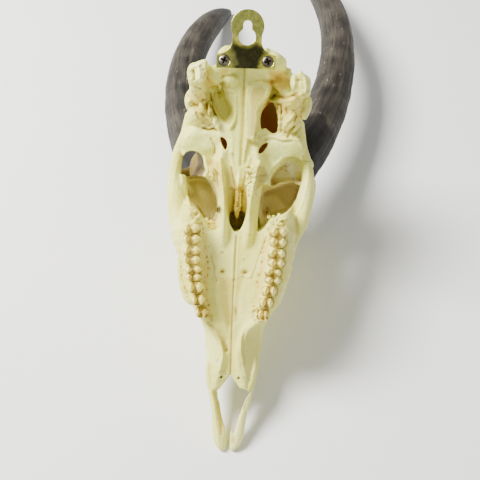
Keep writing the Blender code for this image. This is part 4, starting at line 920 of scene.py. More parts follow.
def loft(name, rings):
    """A closed skin over rings of equally many points, in millimetres, with flat ends."""
    bm = bmesh.new()
    loops = [[bm.verts.new(Vector(p) * MM) for p in ring] for ring in rings]
    for a, b in zip(loops, loops[1:]):
        for i in range(len(a)):
            j = (i + 1) % len(a)
            bm.faces.new((a[i], a[j], b[j], b[i]))
    bm.faces.new(list(reversed(loops[0])))
    bm.faces.new(loops[-1])
    return object_from(name, bm)


def tube(name, path, wide=(1, 0, 0), sides=14, count=24):
    """A tube along rows of (x, y, z, half width, half height), its width lying along wide."""
    rows = curve_through(path, count)
    centres, widths, heights = rows[:, :3], rows[:, 3], rows[:, 4]
    runs = np.gradient(centres, axis=0)
    rings = []
    for centre, run, width, height in zip(centres, runs, widths, heights):
        run = Vector(run).normalized()
        across = Vector(wide) - run * run.dot(Vector(wide))
        across.normalize()
        up = run.cross(across)
        turns = [2 * math.pi * k / sides for k in range(sides)]
        offsets = [across * (width * math.cos(a)) + up * (height * math.sin(a)) for a in turns]
        rings.append([Vector(centre) + offset for offset in offsets])
    return loft(name, rings)


def along_y(name, stations, side, sides=16):
    """A tube along y from rows of (y, x, z, half width, half height), on one side of the skull."""
    rows = curve_through(stations, 3 * len(stations))
    turns = [2 * math.pi * k / sides for k in range(sides)]
    rings = []
    for y, x, z, wide, high in rows:
        rings.append([(side * (x + wide * math.cos(a)), y, z + high * math.sin(a)) for a in turns])
    return loft(name, rings)


def ball(name, centre, radii, turn=(0, 0, 0), rings=16):
    bm = bmesh.new()
    bmesh.ops.create_uvsphere(bm, u_segments=2 * rings, v_segments=rings, radius=1)
    size = Matrix.Diagonal((*[r * MM for r in radii], 1))
    turned = Euler([math.radians(a) for a in turn]).to_matrix().to_4x4()
    bm.transform(Matrix.Translation(Vector(centre) * MM) @ turned @ size)
    return object_from(name, bm)


def prism(name, outline, low, high):
    """A block with this (x, y) outline, from z low to z high."""
    return loft(name, [[(x, y, z) for x, y in outline] for z in (low, high)])


def box(name, low, high):
    (x0, y0, z0), (x1, y1, z1) = low, high
    return prism(name, [(x0, y0), (x1, y0), (x1, y1), (x0, y1)], z0, z1)


def baked(obj):
    """The object with its modifiers worked into its mesh."""
    graph = bpy.context.evaluated_depsgraph_get()
    graph.update()
    mesh = bpy.data.meshes.new_from_object(obj.evaluated_get(graph))
    obj.modifiers.clear()
    obj.data = mesh
    return obj


def remove(objects):
    for obj in objects:
        bpy.data.objects.remove(obj)


def fine_bones():
    """Thin bars, rims, plates and knobs, added once the large forms are cut."""
    pieces = [ball("crest_knob", (0, 231, 58), (6, 4, 6)), tube("vomer", VOMER, sides=8)]
    pieces.append(prism("basilar_plate", sided(BASILAR_PLATE, -1), 8.0, 15.0))
    pieces.append(ball("basilar_knob", (9.0, 222.0, 9.5), (5.2, 3.6, 3.4)))
    pieces.append(ball("temple_shelf", (-36.5, 177, 60), (9, 8.5, 5)))
    for s in SIDES:
        out = PARACONDYLAR_OUT[s]
        condyle_x = s * (CONDYLE_CENTRE[0] + CONDYLE_OUT[s])
        pieces += [
            along_y("premaxilla", PREMAXILLA, s),
            along_y("arch", ARCH, s),
            orbit_rim(s),
            tube("post_orbital", sided(POST_ORBITAL, s)),
            tube("orbit_back", sided(ORBIT_BACK, s), wide=(0, 1, 0), sides=10),
            tube("pterygoid", sided(PTERYGOID, s)),
            tube("paracondylar", sided([(x + out, *row) for x, *row in PARACONDYLAR], s), count=12),
            tube("nuchal_crest", sided(NUCHAL_CREST, s), wide=(0, 1, 0)),
            tube("ear_tube", sided(EAR_TUBE, s), wide=(0, 1, 0), count=8),
            ball("ear_lump", (s * 29, 201, 16), (5.5, 6.5, 6.5)),
            ball("mastoid_knob", (s * 33.5, 210, 18), (4.2, 7.0, 8.0)),
            ball("condyle", (condyle_x, *CONDYLE_CENTRE[1:]), CONDYLE_RADII, (18, 0, s * -28)),
            pedicle(s),
        ]
    return pieces


def face_ring(row):
    """One cross-section of the face, all the way round, from a row of FACE."""
    y, crest, crest_z, vault_z, wide, wide_z, upper, upper_z, roof, roof_z = row
    half = [
        (crest * 0.55, vault_z - 0.2),
        (crest, crest_z),
        (wide, wide_z),
        ((wide + upper) / 2, (wide_z + upper_z) / 2),
        (upper, upper_z),
        (roof, roof_z - 1.2),
    ]
    outline = [(0, vault_z)] + half + [(0, roof_z)] + [(-x, z) for x, z in reversed(half)]
    smooth = curve_through(outline, 48, closed=True)
    return [(x, y, z) for x, z in smooth]


def face_block():
    rows = curve_through(FACE, 4 * len(FACE))
    return loft("face", [face_ring(row) for row in rows])


def base_block():
    rings = []
    for y, half, low, high in curve_through(BASE, 24):
        turns = [2 * math.pi * k / 20 for k in range(20)]
        middle, rise = (low + high) / 2, (high - low) / 2
        rings.append([(half * 1.15 * math.cos(a), y, middle + rise * math.sin(a)) for a in turns])
    return loft("base", rings)


def nose_room():
    """The nasal cavity, open above at the front and below at the back."""
    rows = curve_through(
        (
            (30, 9.0, 5.0, 30.0),
            (44, 11.0, 5.5, 34.0),
            (56, 11.5, 5.5, 40.0),
            (66, 12.5, 6.0, 33.0),
            (80, 13.5, 7.0, 36.0),
            (110, 15.5, 8.5, 44.0),
            (135, 13.5, 10.0, 46.0),
            (150, 9.0, 13.0, 36.0),
            (156, 6.5, 16.0, 28.0),
        ),
        30,
    )
    rings = []
    for y, half, low, high in rows:
        turns = [2 * math.pi * k / 24 for k in range(24)]
        middle, rise = (low + high) / 2, (high - low) / 2
        rings.append(
            [(half * squared(math.cos(a)), y, middle + rise * squared(math.sin(a))) for a in turns]
        )
    return loft("nose_room", rings)


def squared(value, power=0.7):
    """Pushes a sine or cosine outwards, so that an ellipse becomes a rounded box."""
    return math.copysign(abs(value) ** power, value)


def orbit_room(s):
    """The eye's socket: a cone with a round end, opening to the side and a little forwards."""
    depth_rows = ((-26, 4), (-20, 8.5), (-12, 12.5), (-3, 16.6), (6, 17.4), (16, 18.5))
    rings = []
    for depth, radius in curve_through(depth_rows, 16):
        ring = []
        for k in range(24):
            a = 2 * math.pi * k / 24
            local = Vector((depth, radius * 1.03 * math.cos(a), radius * math.sin(a)))
            local.rotate(Euler((0, 0, -ORBIT_TURN)))
            x, y, z = Vector(ORBIT_CENTRE) + local
            ring.append((s * x, y, z))
        rings.append(ring)
    return loft("orbit_room", rings)


def sided(rows, s):
    return [(s * row[0], *row[1:]) for row in rows]


def orbit_rim(s):
    """The raised ring round the eye's socket."""
    count, sides = 36, 10
    bm = bmesh.new()
    loops = []
    for k in range(count):
        a = 2 * math.pi * k / count
        loop = []
        for j in range(sides):
            b = 2 * math.pi * j / sides
            across, out = ORBIT_RIM_THICK[0] * math.cos(b), ORBIT_RIM_THICK[1] * math.sin(b)
            wide, high = ORBIT_RIM[0] + out, ORBIT_RIM[1] + out
            local = Vector((across, wide * math.cos(a), high * math.sin(a)))
            local.rotate(Euler((0, math.radians(8), -ORBIT_TURN)))
            x, y, z = Vector(ORBIT_CENTRE) + local + Vector((0.4, 0, 0))
            loop.append(bm.verts.new(Vector((s * x, y, z)) * MM))
        loops.append(loop)
    for a, b in zip(loops, loops[1:] + loops[:1]):
        for i in range(sides):
            j = (i + 1) % sides
            bm.faces.new((a[i], a[j], b[j], b[i]))
    return object_from("orbit_rim", bm)


def horn_line(s, count=HORN_RINGS):
    """Points and directions along the middle of one horn."""
    t = (np.arange(240) + 0.5) / 240
    rise = np.radians(curve_through(np.array(HORN_RISE)[:, None], 240)[:, 0] + HORN_LEANS[s])
    outward = np.array(HORN_SPREAD) + HORN_BENDS[s]
    spread = np.radians(curve_through(outward[:, None], 240)[:, 0])
    ahead = np.cos(spread)
    steps = np.stack([s * np.sin(spread), ahead * np.cos(rise), ahead * np.sin(rise)], axis=1)
    base = np.array([s * HORN_BASE[0], HORN_BASE[1], HORN_BASE[2]])
    points = base + np.vstack([[0, 0, 0], np.cumsum(steps, axis=0) * HORN_LENGTHS[s] / len(t)])
    places = np.linspace(0, len(t), count)
    low = np.minimum(places.astype(int), len(t) - 1)
    part = (places - low)[:, None]
    return points[low] * (1 - part) + points[low + 1] * part, steps[low]


def pedicle(s):
    """The bony stump that the horn stands on, just up to the horn's base."""
    points, runs = horn_line(s)
    start, run = Vector(points[0]), Vector(runs[0]).normalized()
    rows = [(*(start - run * back), radius, radius * 1.05) for back, radius in PEDICLE]
    return tube("pedicle", rows, count=8, sides=20)


def tooth_outline(s, front, back, middle, half, lobes, count=16):
    """The crown seen from below: one or two rounded lobes."""
    points = []
    length = back - front
    for k in range(count):
        a = 2 * math.pi * k / count
        y = (front + back) / 2 + length / 2 * squared(math.cos(a), 0.6)
        pinch = 1 - 0.16 * (lobes == 2) * math.exp(-((y - (front + back) / 2) ** 2) / 1.2)
        points.append((s * (middle + half * squared(math.sin(a), 0.6) * pinch), y))
    return points


def plate_outline():
    """The hanger seen from its face: a straight foot, a waist and a round head."""
    waist = PLATE_HALF - PLATE_NECK
    turns = [math.pi / 2 * k / 8 for k in range(1, 8)]
    right = [(PLATE_HALF, 0), (PLATE_HALF, PLATE_EAR)]
    for a in turns:
        right.append((PLATE_HALF - waist * math.sin(a), PLATE_EAR + PLATE_CURVE * (1 - math.cos(a))))
    head_y = PLATE_REACH - PLATE_HEAD_R
    head = []
    for k in range(17):
        a = math.radians(-28 + 236 * k / 16)
        head.append((PLATE_HEAD_R * math.cos(a), head_y + PLATE_HEAD_R * math.sin(a)))
    return right + head + [(-x, y) for x, y in reversed(right)]


def keyhole_outline():
    """A round hole with a narrow slot above it."""
    points = []
    neck = math.asin(SLOT_R / KEYHOLE_R)
    for k in range(21):
        a = math.pi / 2 + neck + (2 * math.pi - 2 * neck) * k / 20
        points.append((KEYHOLE_R * math.cos(a), KEYHOLE_Y + KEYHOLE_R * math.sin(a)))
    for k in range(9):
        a = math.pi * k / 8
        points.append((SLOT_R * math.cos(a), SLOT_TOP - SLOT_R + SLOT_R * math.sin(a)))
    return points


def on_plate(x, y):
    """Where a point of the hanger's own drawing lies on the skull."""
    cos, sin = math.cos(PLATE_TURN), math.sin(PLATE_TURN)
    return PLATE_X + x * cos - y * sin, PLATE_Y + x * sin + y * cos


def screw_body(name, s, grow):
    """A countersunk head on a straight shank, this much larger all over."""
    x, y = on_plate(s * SCREW_X, SCREW_Y)
    face = PLATE_Z - PLATE_THICK
    profile = (
        (face - 0.5 - grow, SCREW_HEAD_R * 0.8 + grow),
        (face, SCREW_HEAD_R + grow),
        (PLATE_Z + 0.8, 1.5 + grow),
        (PLATE_Z + SCREW_LENGTH - 2 + grow, 1.4 + grow),
        (PLATE_Z + SCREW_LENGTH + grow, 0.4 + grow),
    )
    rings = []
    for z, radius in profile:
        turns = [2 * math.pi * k / 18 for k in range(18)]
        rings.append([(x + radius * math.cos(a), y + radius * math.sin(a), z) for a in turns])
    return loft(name, rings)


def smooth_step(value):
    value = np.clip(value, 0, 1)
    return value * value * (3 - 2 * value)


def settled_askew(obj):
    """The slight crookedness of this skull: its back end leans to one side."""
    count = len(obj.data.vertices)
    flat = np.empty(3 * count)
    obj.data.vertices.foreach_get("co", flat)
    points = flat.reshape(count, 3) / MM
    back = smooth_step((points[:, 1] - 172) / 62)
    low = smooth_step((points[:, 1] - 160) / 20) * smooth_step((42 - points[:, 2]) / 18)
    points[:, 1] += BASE_SHEAR * points[:, 0] * low
    points[:, 0] += BACK_LEAN * back
    obj.data.vertices.foreach_set("co", (points * MM).ravel())
    obj.data.update()
    return obj


def widened(outline, by):
    """The outline moved outwards by this much."""
    points = np.array(outline, float)
    ahead = np.roll(points, -1, axis=0) - points
    area = np.sum(points[:, 0] * np.roll(points[:, 1], -1) - np.roll(points[:, 0], -1) * points[:, 1])
    ahead /= np.linalg.norm(ahead, axis=1)[:, None]
    normal = np.stack([ahead[:, 1], -ahead[:, 0]], axis=1) * np.sign(area)
    before = np.roll(normal, 1, axis=0)
    share = 1 + np.sum(normal * before, axis=1)
    return points + (normal + before) * by / share[:, None]


def nasal_block(by):
    half = [(x, y) for y, x in NASAL_AREA]
    outline = widened(half + [(-x, y) for x, y in reversed(half[:-1])], by)
    low = [(x, y, NASAL_FLOOR[0] + NASAL_FLOOR[1] * y - by) for x, y in outline]
    return loft("area", [low, [(x, y, 80) for x, y in outline]])


def clay_body(name, pieces, clay, rounds):
    """One body from pieces that run into one another, like clay, smoothed this many rounds."""
    bm = bmesh.new()
    for piece in pieces:
        bm.from_mesh(piece.data)
    obj = object_from(name, bm)
    remove(pieces)
    remesh = obj.modifiers.new("clay", "REMESH")
    remesh.mode = "VOXEL"
    remesh.voxel_size = clay * MM
    if rounds:
        smooth = obj.modifiers.new("smooth", "SMOOTH")
        smooth.factor = 0.5
        smooth.iterations = rounds
    return baked(obj)


def cut(obj, cutters, operation="DIFFERENCE", solver="MANIFOLD"):
    """Cuts these bodies out of the object, one after another, and removes them."""
    for cutter in cutters:
        boolean = obj.modifiers.new("cut", "BOOLEAN")
        boolean.operation = operation
        boolean.solver = solver
        boolean.object = cutter
    baked(obj)
    remove(cutters)
    return obj


def points_of(obj):
    """The object's vertices as rows, in millimetres."""
    flat = np.empty(3 * len(obj.data.vertices))
    obj.data.vertices.foreach_get("co", flat)
    return flat.reshape(-1, 3) / MM


def move_points(obj, points):
    obj.data.vertices.foreach_set("co", (points * MM).ravel())
    obj.data.update()


def normals_of(obj):
    flat = np.empty(3 * len(obj.data.vertices), np.float32)
    obj.data.vertex_normals.foreach_get("vector", flat)
    return flat.reshape(-1, 3).astype(float)


def soft_noise(points, size, seed=0):
    """Noise between -1 and 1 that changes over about this many millimetres."""
    spots = points / size + 17.31 * (seed + 1)
    cell = np.floor(spots).astype(int)
    part = spots - cell
    part = part * part * (3 - 2 * part)
    total = np.zeros(len(points))
    for corner in range(8):
        step = np.array([corner & 1, corner >> 1 & 1, corner >> 2])
        weight = np.prod(np.where(step, part, 1 - part), axis=1)
        x, y, z = ((cell + step) % len(LATTICE)).T
        total += weight * LATTICE[x, y, z]
    return total


def rough_noise(points, size, seed=0, octaves=3):
    """Noise with finer and finer crumbs in it."""
    total = np.zeros(len(points))
    for k in range(octaves):
        total += soft_noise(points, size / 2**k, seed + 5 * k) / 2**k
    return total


def noise_where(share, points, size, seed):
    """Rough noise, worked out only where the share isn't nought."""
    total = np.zeros(len(points))
    total[share > 0] = rough_noise(points[share > 0], size, seed)
    return total


LATTICE = np.random.default_rng(NOISE_SEED).uniform(-1, 1, (48, 48, 48))


def camera_turn():
    a, b, c = CAMERA_TURNS
    return Matrix.Rotation(c, 3, "Z") @ Matrix.Rotation(b, 3, "Y") @ Matrix.Rotation(a, 3, "X")


def in_photo(points):
    """Where points of the skull's own frame fall in the photograph, in pixels, and how far off they are."""
    turned = np.stack([-points[:, 0], points[:, 1] - CAMERA_AIM, -points[:, 2]], axis=1)
    seen = turned @ np.array(camera_turn()).T
    seen[:, 0] += CAMERA_SHIFT[0]
    seen[:, 1] += CAMERA_SHIFT[1]
    far = CAMERA_FAR - seen[:, 2]
    scale = CAMERA_SCALE * CAMERA_FAR / far
    middle = PHOTO_SIZE / 2
    return np.stack([middle + seen[:, 0] * scale, middle - seen[:, 1] * scale], axis=1), far


def camera_place():
    """Where the camera stands in the skull's own frame, and its turn there."""
    turn = camera_turn() @ Matrix(((-1, 0, 0), (0, 1, 0), (0, 0, -1)))
    back = turn.inverted()
    start = Vector((*CAMERA_SHIFT, 0)) - camera_turn() @ Vector((0, CAMERA_AIM, 0))
    return back @ (Vector((0, 0, CAMERA_FAR)) - start), back


def from_photo(x, y, z):
    """The point at this height of the skull's own frame that the photograph shows at this pixel."""
    scale = CAMERA_SCALE * CAMERA_FAR
    middle = PHOTO_SIZE / 2
    back = camera_turn().transposed()
    start = back @ (Vector((0, 0, CAMERA_FAR)) - Vector((*CAMERA_SHIFT, 0)))
    run = back @ Vector(((x - middle) / scale, (middle - y) / scale, -1))
    spot = start + run * ((-z - start.z) / run.z)
    return -spot.x, spot.y + CAMERA_AIM, z


def photo_room(name, *levels, count=48):
    """A body through outlines that the photograph shows, each at its own height."""
    rings = []
    for z, outline in levels:
        rings.append([from_photo(x, y, z) for x, y in curve_through(outline, count, closed=True)])
    return loft(name, rings)


def shrunk(outline, share):
    """The outline drawn in towards its middle."""
    points = np.array(outline, float)
    middle = points.mean(axis=0)
    return middle + (points - middle) * share


def rounded_lump(name, low, high, outline):
    """A body with this outline in the photograph, between two heights, whose ends are rounded off."""
    levels = [(low + (high - low) * at, shrunk(outline, share)) for at, share in ROUNDED_ENDS]
    return photo_room(name, *levels)


def photo_tube(name, rows, **kinds):
    """A tube along rows of (pixel across, pixel down, height, half width, half height)."""
    return tube(name, [(*from_photo(x, y, z), wide, high) for x, y, z, wide, high in rows], **kinds)


def photo_ball(name, place, radii, turn=(0, 0, 0)):
    return ball(name, from_photo(*place), radii, turn)


def nearest_faces(objects):
    """For each pixel, how far off the nearest point of these objects is."""
    nearest = np.full((PHOTO_SIZE, PHOTO_SIZE), np.inf)
    for obj in objects:
        spots, far = in_photo(points_of(obj))
        x, y = np.clip(spots.astype(int), 0, PHOTO_SIZE - 1).T
        np.minimum.at(nearest, (y, x), far)
    return nearest


def line_distance(spots, line):
    """The distance from each spot to a line through these points, all in pixels."""
    best = np.full(len(spots), np.inf)
    for (ax, ay), (bx, by) in zip(line, line[1:]):
        run = np.array([bx - ax, by - ay])
        off = spots - (ax, ay)
        share = np.clip(off @ run / (run @ run), 0, 1)
        best = np.minimum(best, np.hypot(*(off - share[:, None] * run).T))
    return best


def inside(spots, outline):
    """Whether each spot lies inside the outline."""
    hit = np.zeros(len(spots), bool)
    x, y = spots.T
    for (ax, ay), (bx, by) in zip(outline, outline[1:] + outline[:1]):
        crosses = (ay > y) != (by > y)
        at = ax + (y - ay) * (bx - ax) / (by - ay if by != ay else 1)
        hit ^= crosses & (x < at)
    return hit


def area_share(spots, outline, soft):
    """One well inside the outline, nought outside, and smooth between over this many pixels."""
    share = np.zeros(len(spots))
    low = np.min(outline, axis=0) - soft
    high = np.max(outline, axis=0) + soft
    near = np.all((spots > low) & (spots < high), axis=1)
    close = line_distance(spots[near], outline + outline[:1])
    signed = np.where(inside(spots[near], outline), close, -close)
    share[near] = smooth_step(0.5 + signed / soft)
    return share


def near_line(spots, line, width):
    """One on the line, and falling off to nought over about this width in pixels."""
    share = np.zeros(len(spots))
    low = np.min(line, axis=0) - 3 * width
    high = np.max(line, axis=0) + 3 * width
    near = np.all((spots > low) & (spots < high), axis=1)
    share[near] = np.exp(-((line_distance(spots[near], line) / width) ** 2))
    return share


def neighbour_mean(obj):
    """A function that averages a row of numbers for each vertex with its neighbours."""
    edges = np.empty(2 * len(obj.data.edges), int)
    obj.data.edges.foreach_get("vertices", edges)
    a, b = edges.reshape(-1, 2).T
    count = len(obj.data.vertices)
    degree = np.bincount(a, minlength=count) + np.bincount(b, minlength=count)

    def mean(values):
        total = np.bincount(a, values[b], count) + np.bincount(b, values[a], count)
        return total / np.maximum(degree, 1)

    return mean


def hollowness(obj, rounds):
    """How far each vertex lies below the smoothed surface round it, in millimetres."""
    mean = neighbour_mean(obj)
    points = points_of(obj)
    smoothed = [points[:, k] for k in range(3)]
    for _ in range(rounds):
        smoothed = [mean(values) for values in smoothed]
    return np.sum((np.stack(smoothed, axis=1) - points) * normals_of(obj), axis=1)


def toned(colours, share, tone):
    """The colours moved towards this tone by a share for each point."""
    return colours + (np.array(tone) - colours) * np.clip(share, 0, 1)[:, None]


def spot_off(spots, middle, wide, high):
    """How far from the middle each spot lies, as a share of these radii, squared."""
    return ((spots[:, 0] - middle[0]) / wide) ** 2 + ((spots[:, 1] - middle[1]) / high) ** 2


def turned_to(value):
    """One where a surface faces a view well, nought where it is edge on or faces away."""
    return smooth_step(value * 2.5 - 0.2)


def wandering(line, step, reach):
    """The line in short steps that zigzag a little, like a suture."""
    points = []
    for (ax, ay), (bx, by) in zip(line, line[1:]):
        count = max(1, int(math.hypot(bx - ax, by - ay) / step))
        points += [(ax + (bx - ax) * k / count, ay + (by - ay) * k / count) for k in range(count)]
    points = np.array(points + [line[-1]], float)
    spots = np.column_stack([points, np.zeros(len(points))])
    turns = np.where(np.arange(len(points)) % 2, 0.5, -0.5)
    shift = np.stack([soft_noise(spots, 3.0, k) + turns for k in (30, 31)], axis=1)
    return points + reach * shift


def species_relief(points, normals):
    """Relief and stains of the sides that the photograph hides: the top, the flanks and the back."""
    x, y, z = points.T
    across, aft, up = normals.T
    wide = np.abs(x)
    upper, hind = smooth_step((z - 26) / 6), smooth_step((y - 205) / 6)
    top, side, back = turned_to(up * upper), turned_to(across * np.sign(x)), turned_to(aft * hind)
    views = {
        "top": (np.column_stack([x, y]), top),
        "top_pair": (np.column_stack([wide, y]), top),
        "side": (np.column_stack([y, z]), side),
        "back": (np.column_stack([x, z]), back),
        "back_pair": (np.column_stack([wide, z]), back),
    }
    rise, stain = np.zeros(len(points)), np.zeros(len(points))
    for view, high, width, dark, zigzag, line in SPECIES_LINES:
        spots, facing = views[view]
        path = wandering(line, 1.1, zigzag) if zigzag else line
        share = near_line(spots, path, width) * facing
        rise += high * share
        stain = np.maximum(stain, dark * share)
    for view, high, width, tall, dark, middle in SPECIES_SPOTS:
        spots, facing = views[view]
        share = np.exp(-spot_off(spots, middle, width, tall)) * facing
        rise += high * share
        stain = np.maximum(stain, dark * share)
    for _, front, rear, _, _, lobes, _ in TEETH:
        for k in range(lobes):
            root = front + (rear - front) * (k + 0.5) / lobes
            share = near_line(views["side"][0], ((root, 1), (root - 1, 12)), 1.9)
            rise += 0.45 * share * side * smooth_step((wide - 16) / 3)
    return rise, stain


def cells_of(points, size):
    """A whole number for the small cube that each point lies in."""
    spot = np.floor(points / size).astype(np.int64) + 2000
    return (spot[:, 0] * 4096 + spot[:, 1]) * 4096 + spot[:, 2]


def seam_share(obj, others):
    """One where the bone meets another along a suture, and falling off to nought beside it."""
    rest = np.unique(np.concatenate([cells_of(points_of(other), SEAM_CELL) for other in others]))
    points = points_of(obj)
    near = np.zeros(len(points), bool)
    for step in ((0, 0, 0), (1, 0, 0), (-1, 0, 0), (0, 1, 0), (0, -1, 0), (0, 0, 1), (0, 0, -1)):
        near |= np.isin(cells_of(points + np.array(step) * SEAM_CELL, SEAM_CELL), rest)
    mean = neighbour_mean(obj)
    share = near.astype(float)
    for _ in range(2):
        share = np.maximum(share * 0.9, mean(share))
    return share


def work_photo_in(points, spots, seen, colours):
    """The relief towards the eye, and the stains, painted shade and painted highlight that the photograph
    shows on the bone that it sees.
    """
    lift = np.zeros(len(points))
    for rise, width, stain, line in PHOTO_LINES:
        lift += rise * (near_line(spots, line, width) * seen)
        # The brown along a line: a suture's dark joint, and in grooves partly painted shade.
        colours = toned(colours, 0.8 * stain * near_line(spots, line, width * 1.2) * seen, STAIN_AND_SHADE_BROWN)
    for rise, wide, high, stain, middle in PHOTO_SPOTS:
        off = spot_off(spots, middle, wide, high)
        lift += rise * np.exp(-off) * seen
        # Below one the stain is brown; from one up the hole is painted near black, as painted shade.
        colours = toned(colours, stain * np.exp(-off / 1.6) * seen, BROWN if stain < 1 else PAINTED_HOLE_SHADE)
    for rise, size, stain, outline in PHOTO_ROUGH:
        share = area_share(spots, outline, 5.0) * seen
        crumbs = noise_where(share, points, size, 9)
        lift += rise * crumbs * share
        colours = toned(colours, stain * share * smooth_step(-2 * crumbs + 0.2), BROWN)
    pits = smooth_step(2.5 * soft_noise(points, 1.3, 4) - 0.6)
    for line in MARGIN_PITS:
        share = near_line(spots, line, 2.2) * seen
        lift -= 0.7 * share * pits
        colours = toned(colours, 0.25 * share * pits, BROWN)
        colours = toned(colours, 0.2 * share, ORANGE)
    for rise, tone, share, soft, outline in PHOTO_AREAS:
        area = area_share(spots, outline, soft) * seen
        lift += rise * area
        colours = toned(colours, share * area, tone)
    return lift, colours


def shade_rooms(points, spots, facing, colours):
    """Painted shade inside the rooms, from a height up to the roof, on walls that the photograph can see."""
    up = points[:, 2]
    for low, tone, share, outline in ROOM_SHADES:
        area = area_share(spots, outline, 4.0) * smooth_step((up - low) / 8 + 0.5)
        area *= smooth_step(facing * 2.5 + 0.8) * smooth_step((64 - up) / 2)
        colours = toned(colours, share * area, tone)
    return colours


def bone_swell(points):
    """The grain and swell of all bone, and the crumbs of its broken places, as a height."""
    height = sum(rise * soft_noise(points, size, seed) for rise, size, seed in BONE_SWELLS)
    height += BONE_GRAIN[0] * rough_noise(points, *BONE_GRAIN[1:])
    mirrored = np.column_stack([np.abs(points[:, 0]), points[:, 1:]])
    for centre, radii, rise, size in BROKEN_PLACES:
        near = smooth_step(1.3 - np.linalg.norm((mirrored - centre) / radii, axis=1))
        height += rise * noise_where(near, points, size, 12) * near
    return height


def inner_depth(points, spots):
    """One in the deep rooms that read brown in the photograph: the brain room and the holes to it. There the
    bone also glows with painted light.
    """
    deep = room_share(points, BRAIN_CENTRE, np.array(BRAIN_RADII) + 1.5)
    up = points[:, 2]
    for outline in (EAR_GAP, OVAL_LEFT, OVAL_RIGHT):
        hole = area_share(spots, outline, 1.5) * smooth_step((up - 14) / 4)
        deep = np.maximum(deep, hole * (up < 30))
    return deep


def carve_stain_and_shade(obj, nearest, seam):
    """Works the photograph's lines, pits, crumbs and stains, painted shade and highlight, and the grain of
    bone, into one bone.
    """
    points, normals = points_of(obj), normals_of(obj)
    spots, far = in_photo(points)
    x, y = np.clip(spots.astype(int), 0, PHOTO_SIZE - 1).T
    to_eye = np.array(camera_place()[0]) - points
    to_eye /= np.linalg.norm(to_eye, axis=1)[:, None]
    facing = np.sum(normals * to_eye, axis=1)
    seen = (far < nearest[y, x] + SEEN_DEPTH) * smooth_step(facing * 4)

    colours = np.ones((len(points), 3))
    colours = toned(colours, 0.5 * smooth_step(rough_noise(points, 14, 6) - 0.2), WARM)
    colours = toned(colours, 0.35 * smooth_step(2 * rough_noise(points, 5, 7) - 1.2), OLIVE)
    lift, colours = work_photo_in(points, spots, seen, colours)
    # Painted shade and painted shadow inside the rooms.
    colours = shade_rooms(points, spots, facing, colours)
    shallow, stain = species_relief(points, normals)
    colours = toned(colours, stain, STAIN_AND_SHADE_BROWN)
    plain = seam * (1 - 0.85 * seen)
    colours = toned(colours, 0.55 * plain, STAIN_AND_SHADE_BROWN)
    height = bone_swell(points) + shallow - 0.16 * plain

    move_points(obj, points + normals * height[:, None] + to_eye * lift[:, None])
    # Painted shade in the hollows and painted highlight on the crests.
    depths = {rounds: hollowness(obj, rounds) for rounds in (14, 3)}
    for rounds, way, start, span, strength, tone in HOLLOW_SHADE_AND_CREST_HIGHLIGHT:
        share = smooth_step((way * depths[rounds] - start) / span) * strength
        colours *= toned(np.ones_like(colours), share, tone)
    # The deep rooms take the brown of their inside, and a share that sets where the bone glows with painted
    # light.
    deep = inner_depth(points, spots)
    colours = toned(colours, deep * 0.95, INNER_BROWN)
    set_colours(obj, "stain", colours, 1 - deep)


def room_share(points, centre, radii):
    """One inside an ellipsoid, nought outside."""
    away = np.linalg.norm((points - centre) / radii, axis=1)
    return smooth_step((1.06 - away) / 0.1)


def set_colours(obj, name, colours, alpha=1.0):
    """Keeps a colour for each vertex, and a share that is nought where the bone's material adds a painted
    glow.
    """
    layer = obj.data.attributes.new(name, "FLOAT_COLOR", "POINT")
    full = np.column_stack([colours, np.full(len(colours), 1.0) * alpha]).astype(np.float32)
    layer.data.foreach_set("color", full.ravel())


def main_masses():
    """The large forms, which melt into one another."""
    pieces = [face_block(), base_block(), ball("braincase", BRAINCASE_CENTRE, BRAINCASE_RADII)]
    pieces.append(ball("occiput", (0, 224, 38), (30, 12, 22)))
    for s in SIDES:
        pieces += [
            ball("glenoid", (s * 25, 186, 20.5), (15, 9.5, 7)),
            ball("glenoid_slope", (s * 25, 179, 24.5), (13, 9, 7)),
            ball("mastoid", (s * 27, 214, 27), (10, 13, 17)),
            ball("tympanic", (s * 25, 203, 20), (9, 9, 8)),
            ball("tuber", (s * 27, 139, 10), (7.5, 9, 9.5)),
            ball("pedicle_root", (s * 21, 172, 61), (16, 18, 12.5)),
        ]
    return clay_body("masses", pieces, ROUGH_CLAY, 16)


def openings():
    """What is cut out of the large forms: orbits, temporal pits, nose and brain rooms."""
    cutters = [nose_room(), ball("brain_room", BRAIN_CENTRE, BRAIN_RADII), tube("magnum", MAGNUM_PATH)]
    cutters += [orbit_room(s) for s in SIDES]
    for rim_low, rim, wall, roof, top in EYE_ROOMS:
        walls = ((-14, rim), (rim_low, rim), (26, wall), (40, roof))
        cutters.append(photo_room("orbit", *walls, (top, roof), (top + 3, shrunk(roof, 0.8))))
    cutters += [photo_room("temple", *levels) for levels in TEMPLES]
    cutters.append(tube("temple_side", sided(TEMPLE_WAY, -1), count=16, sides=20))
    return cutters


def basic_holes():
    """Holes and hollows in the thin walls, the palate's front and the base of the skull."""
    cutters = [prism("front_notch", FRONT_NOTCH, -6, 12)]
    cutters += [photo_room("hollow", *levels) for levels in HOLLOWS]
    for _, _, _, roof, top in EYE_ROOMS:
        cutters.append(photo_room("orbit_roof", (34, roof), (top, roof), (top + 3, shrunk(roof, 0.8))))
    cutters += [photo_room("hole", (low, outline), (high, outline)) for low, high, outline in STRAIGHT_HOLES]
    for s in SIDES:
        cutters.append(ball("cheek_hole", (s * 25, 83, 15), (6, 2.2, 2.6), (0, 0, s * -40)))
        cutters.append(ball("ear_tube_hole", (s * 36, 207.0, 24.5), (6, 2.3, 2.3)))
    return cutters


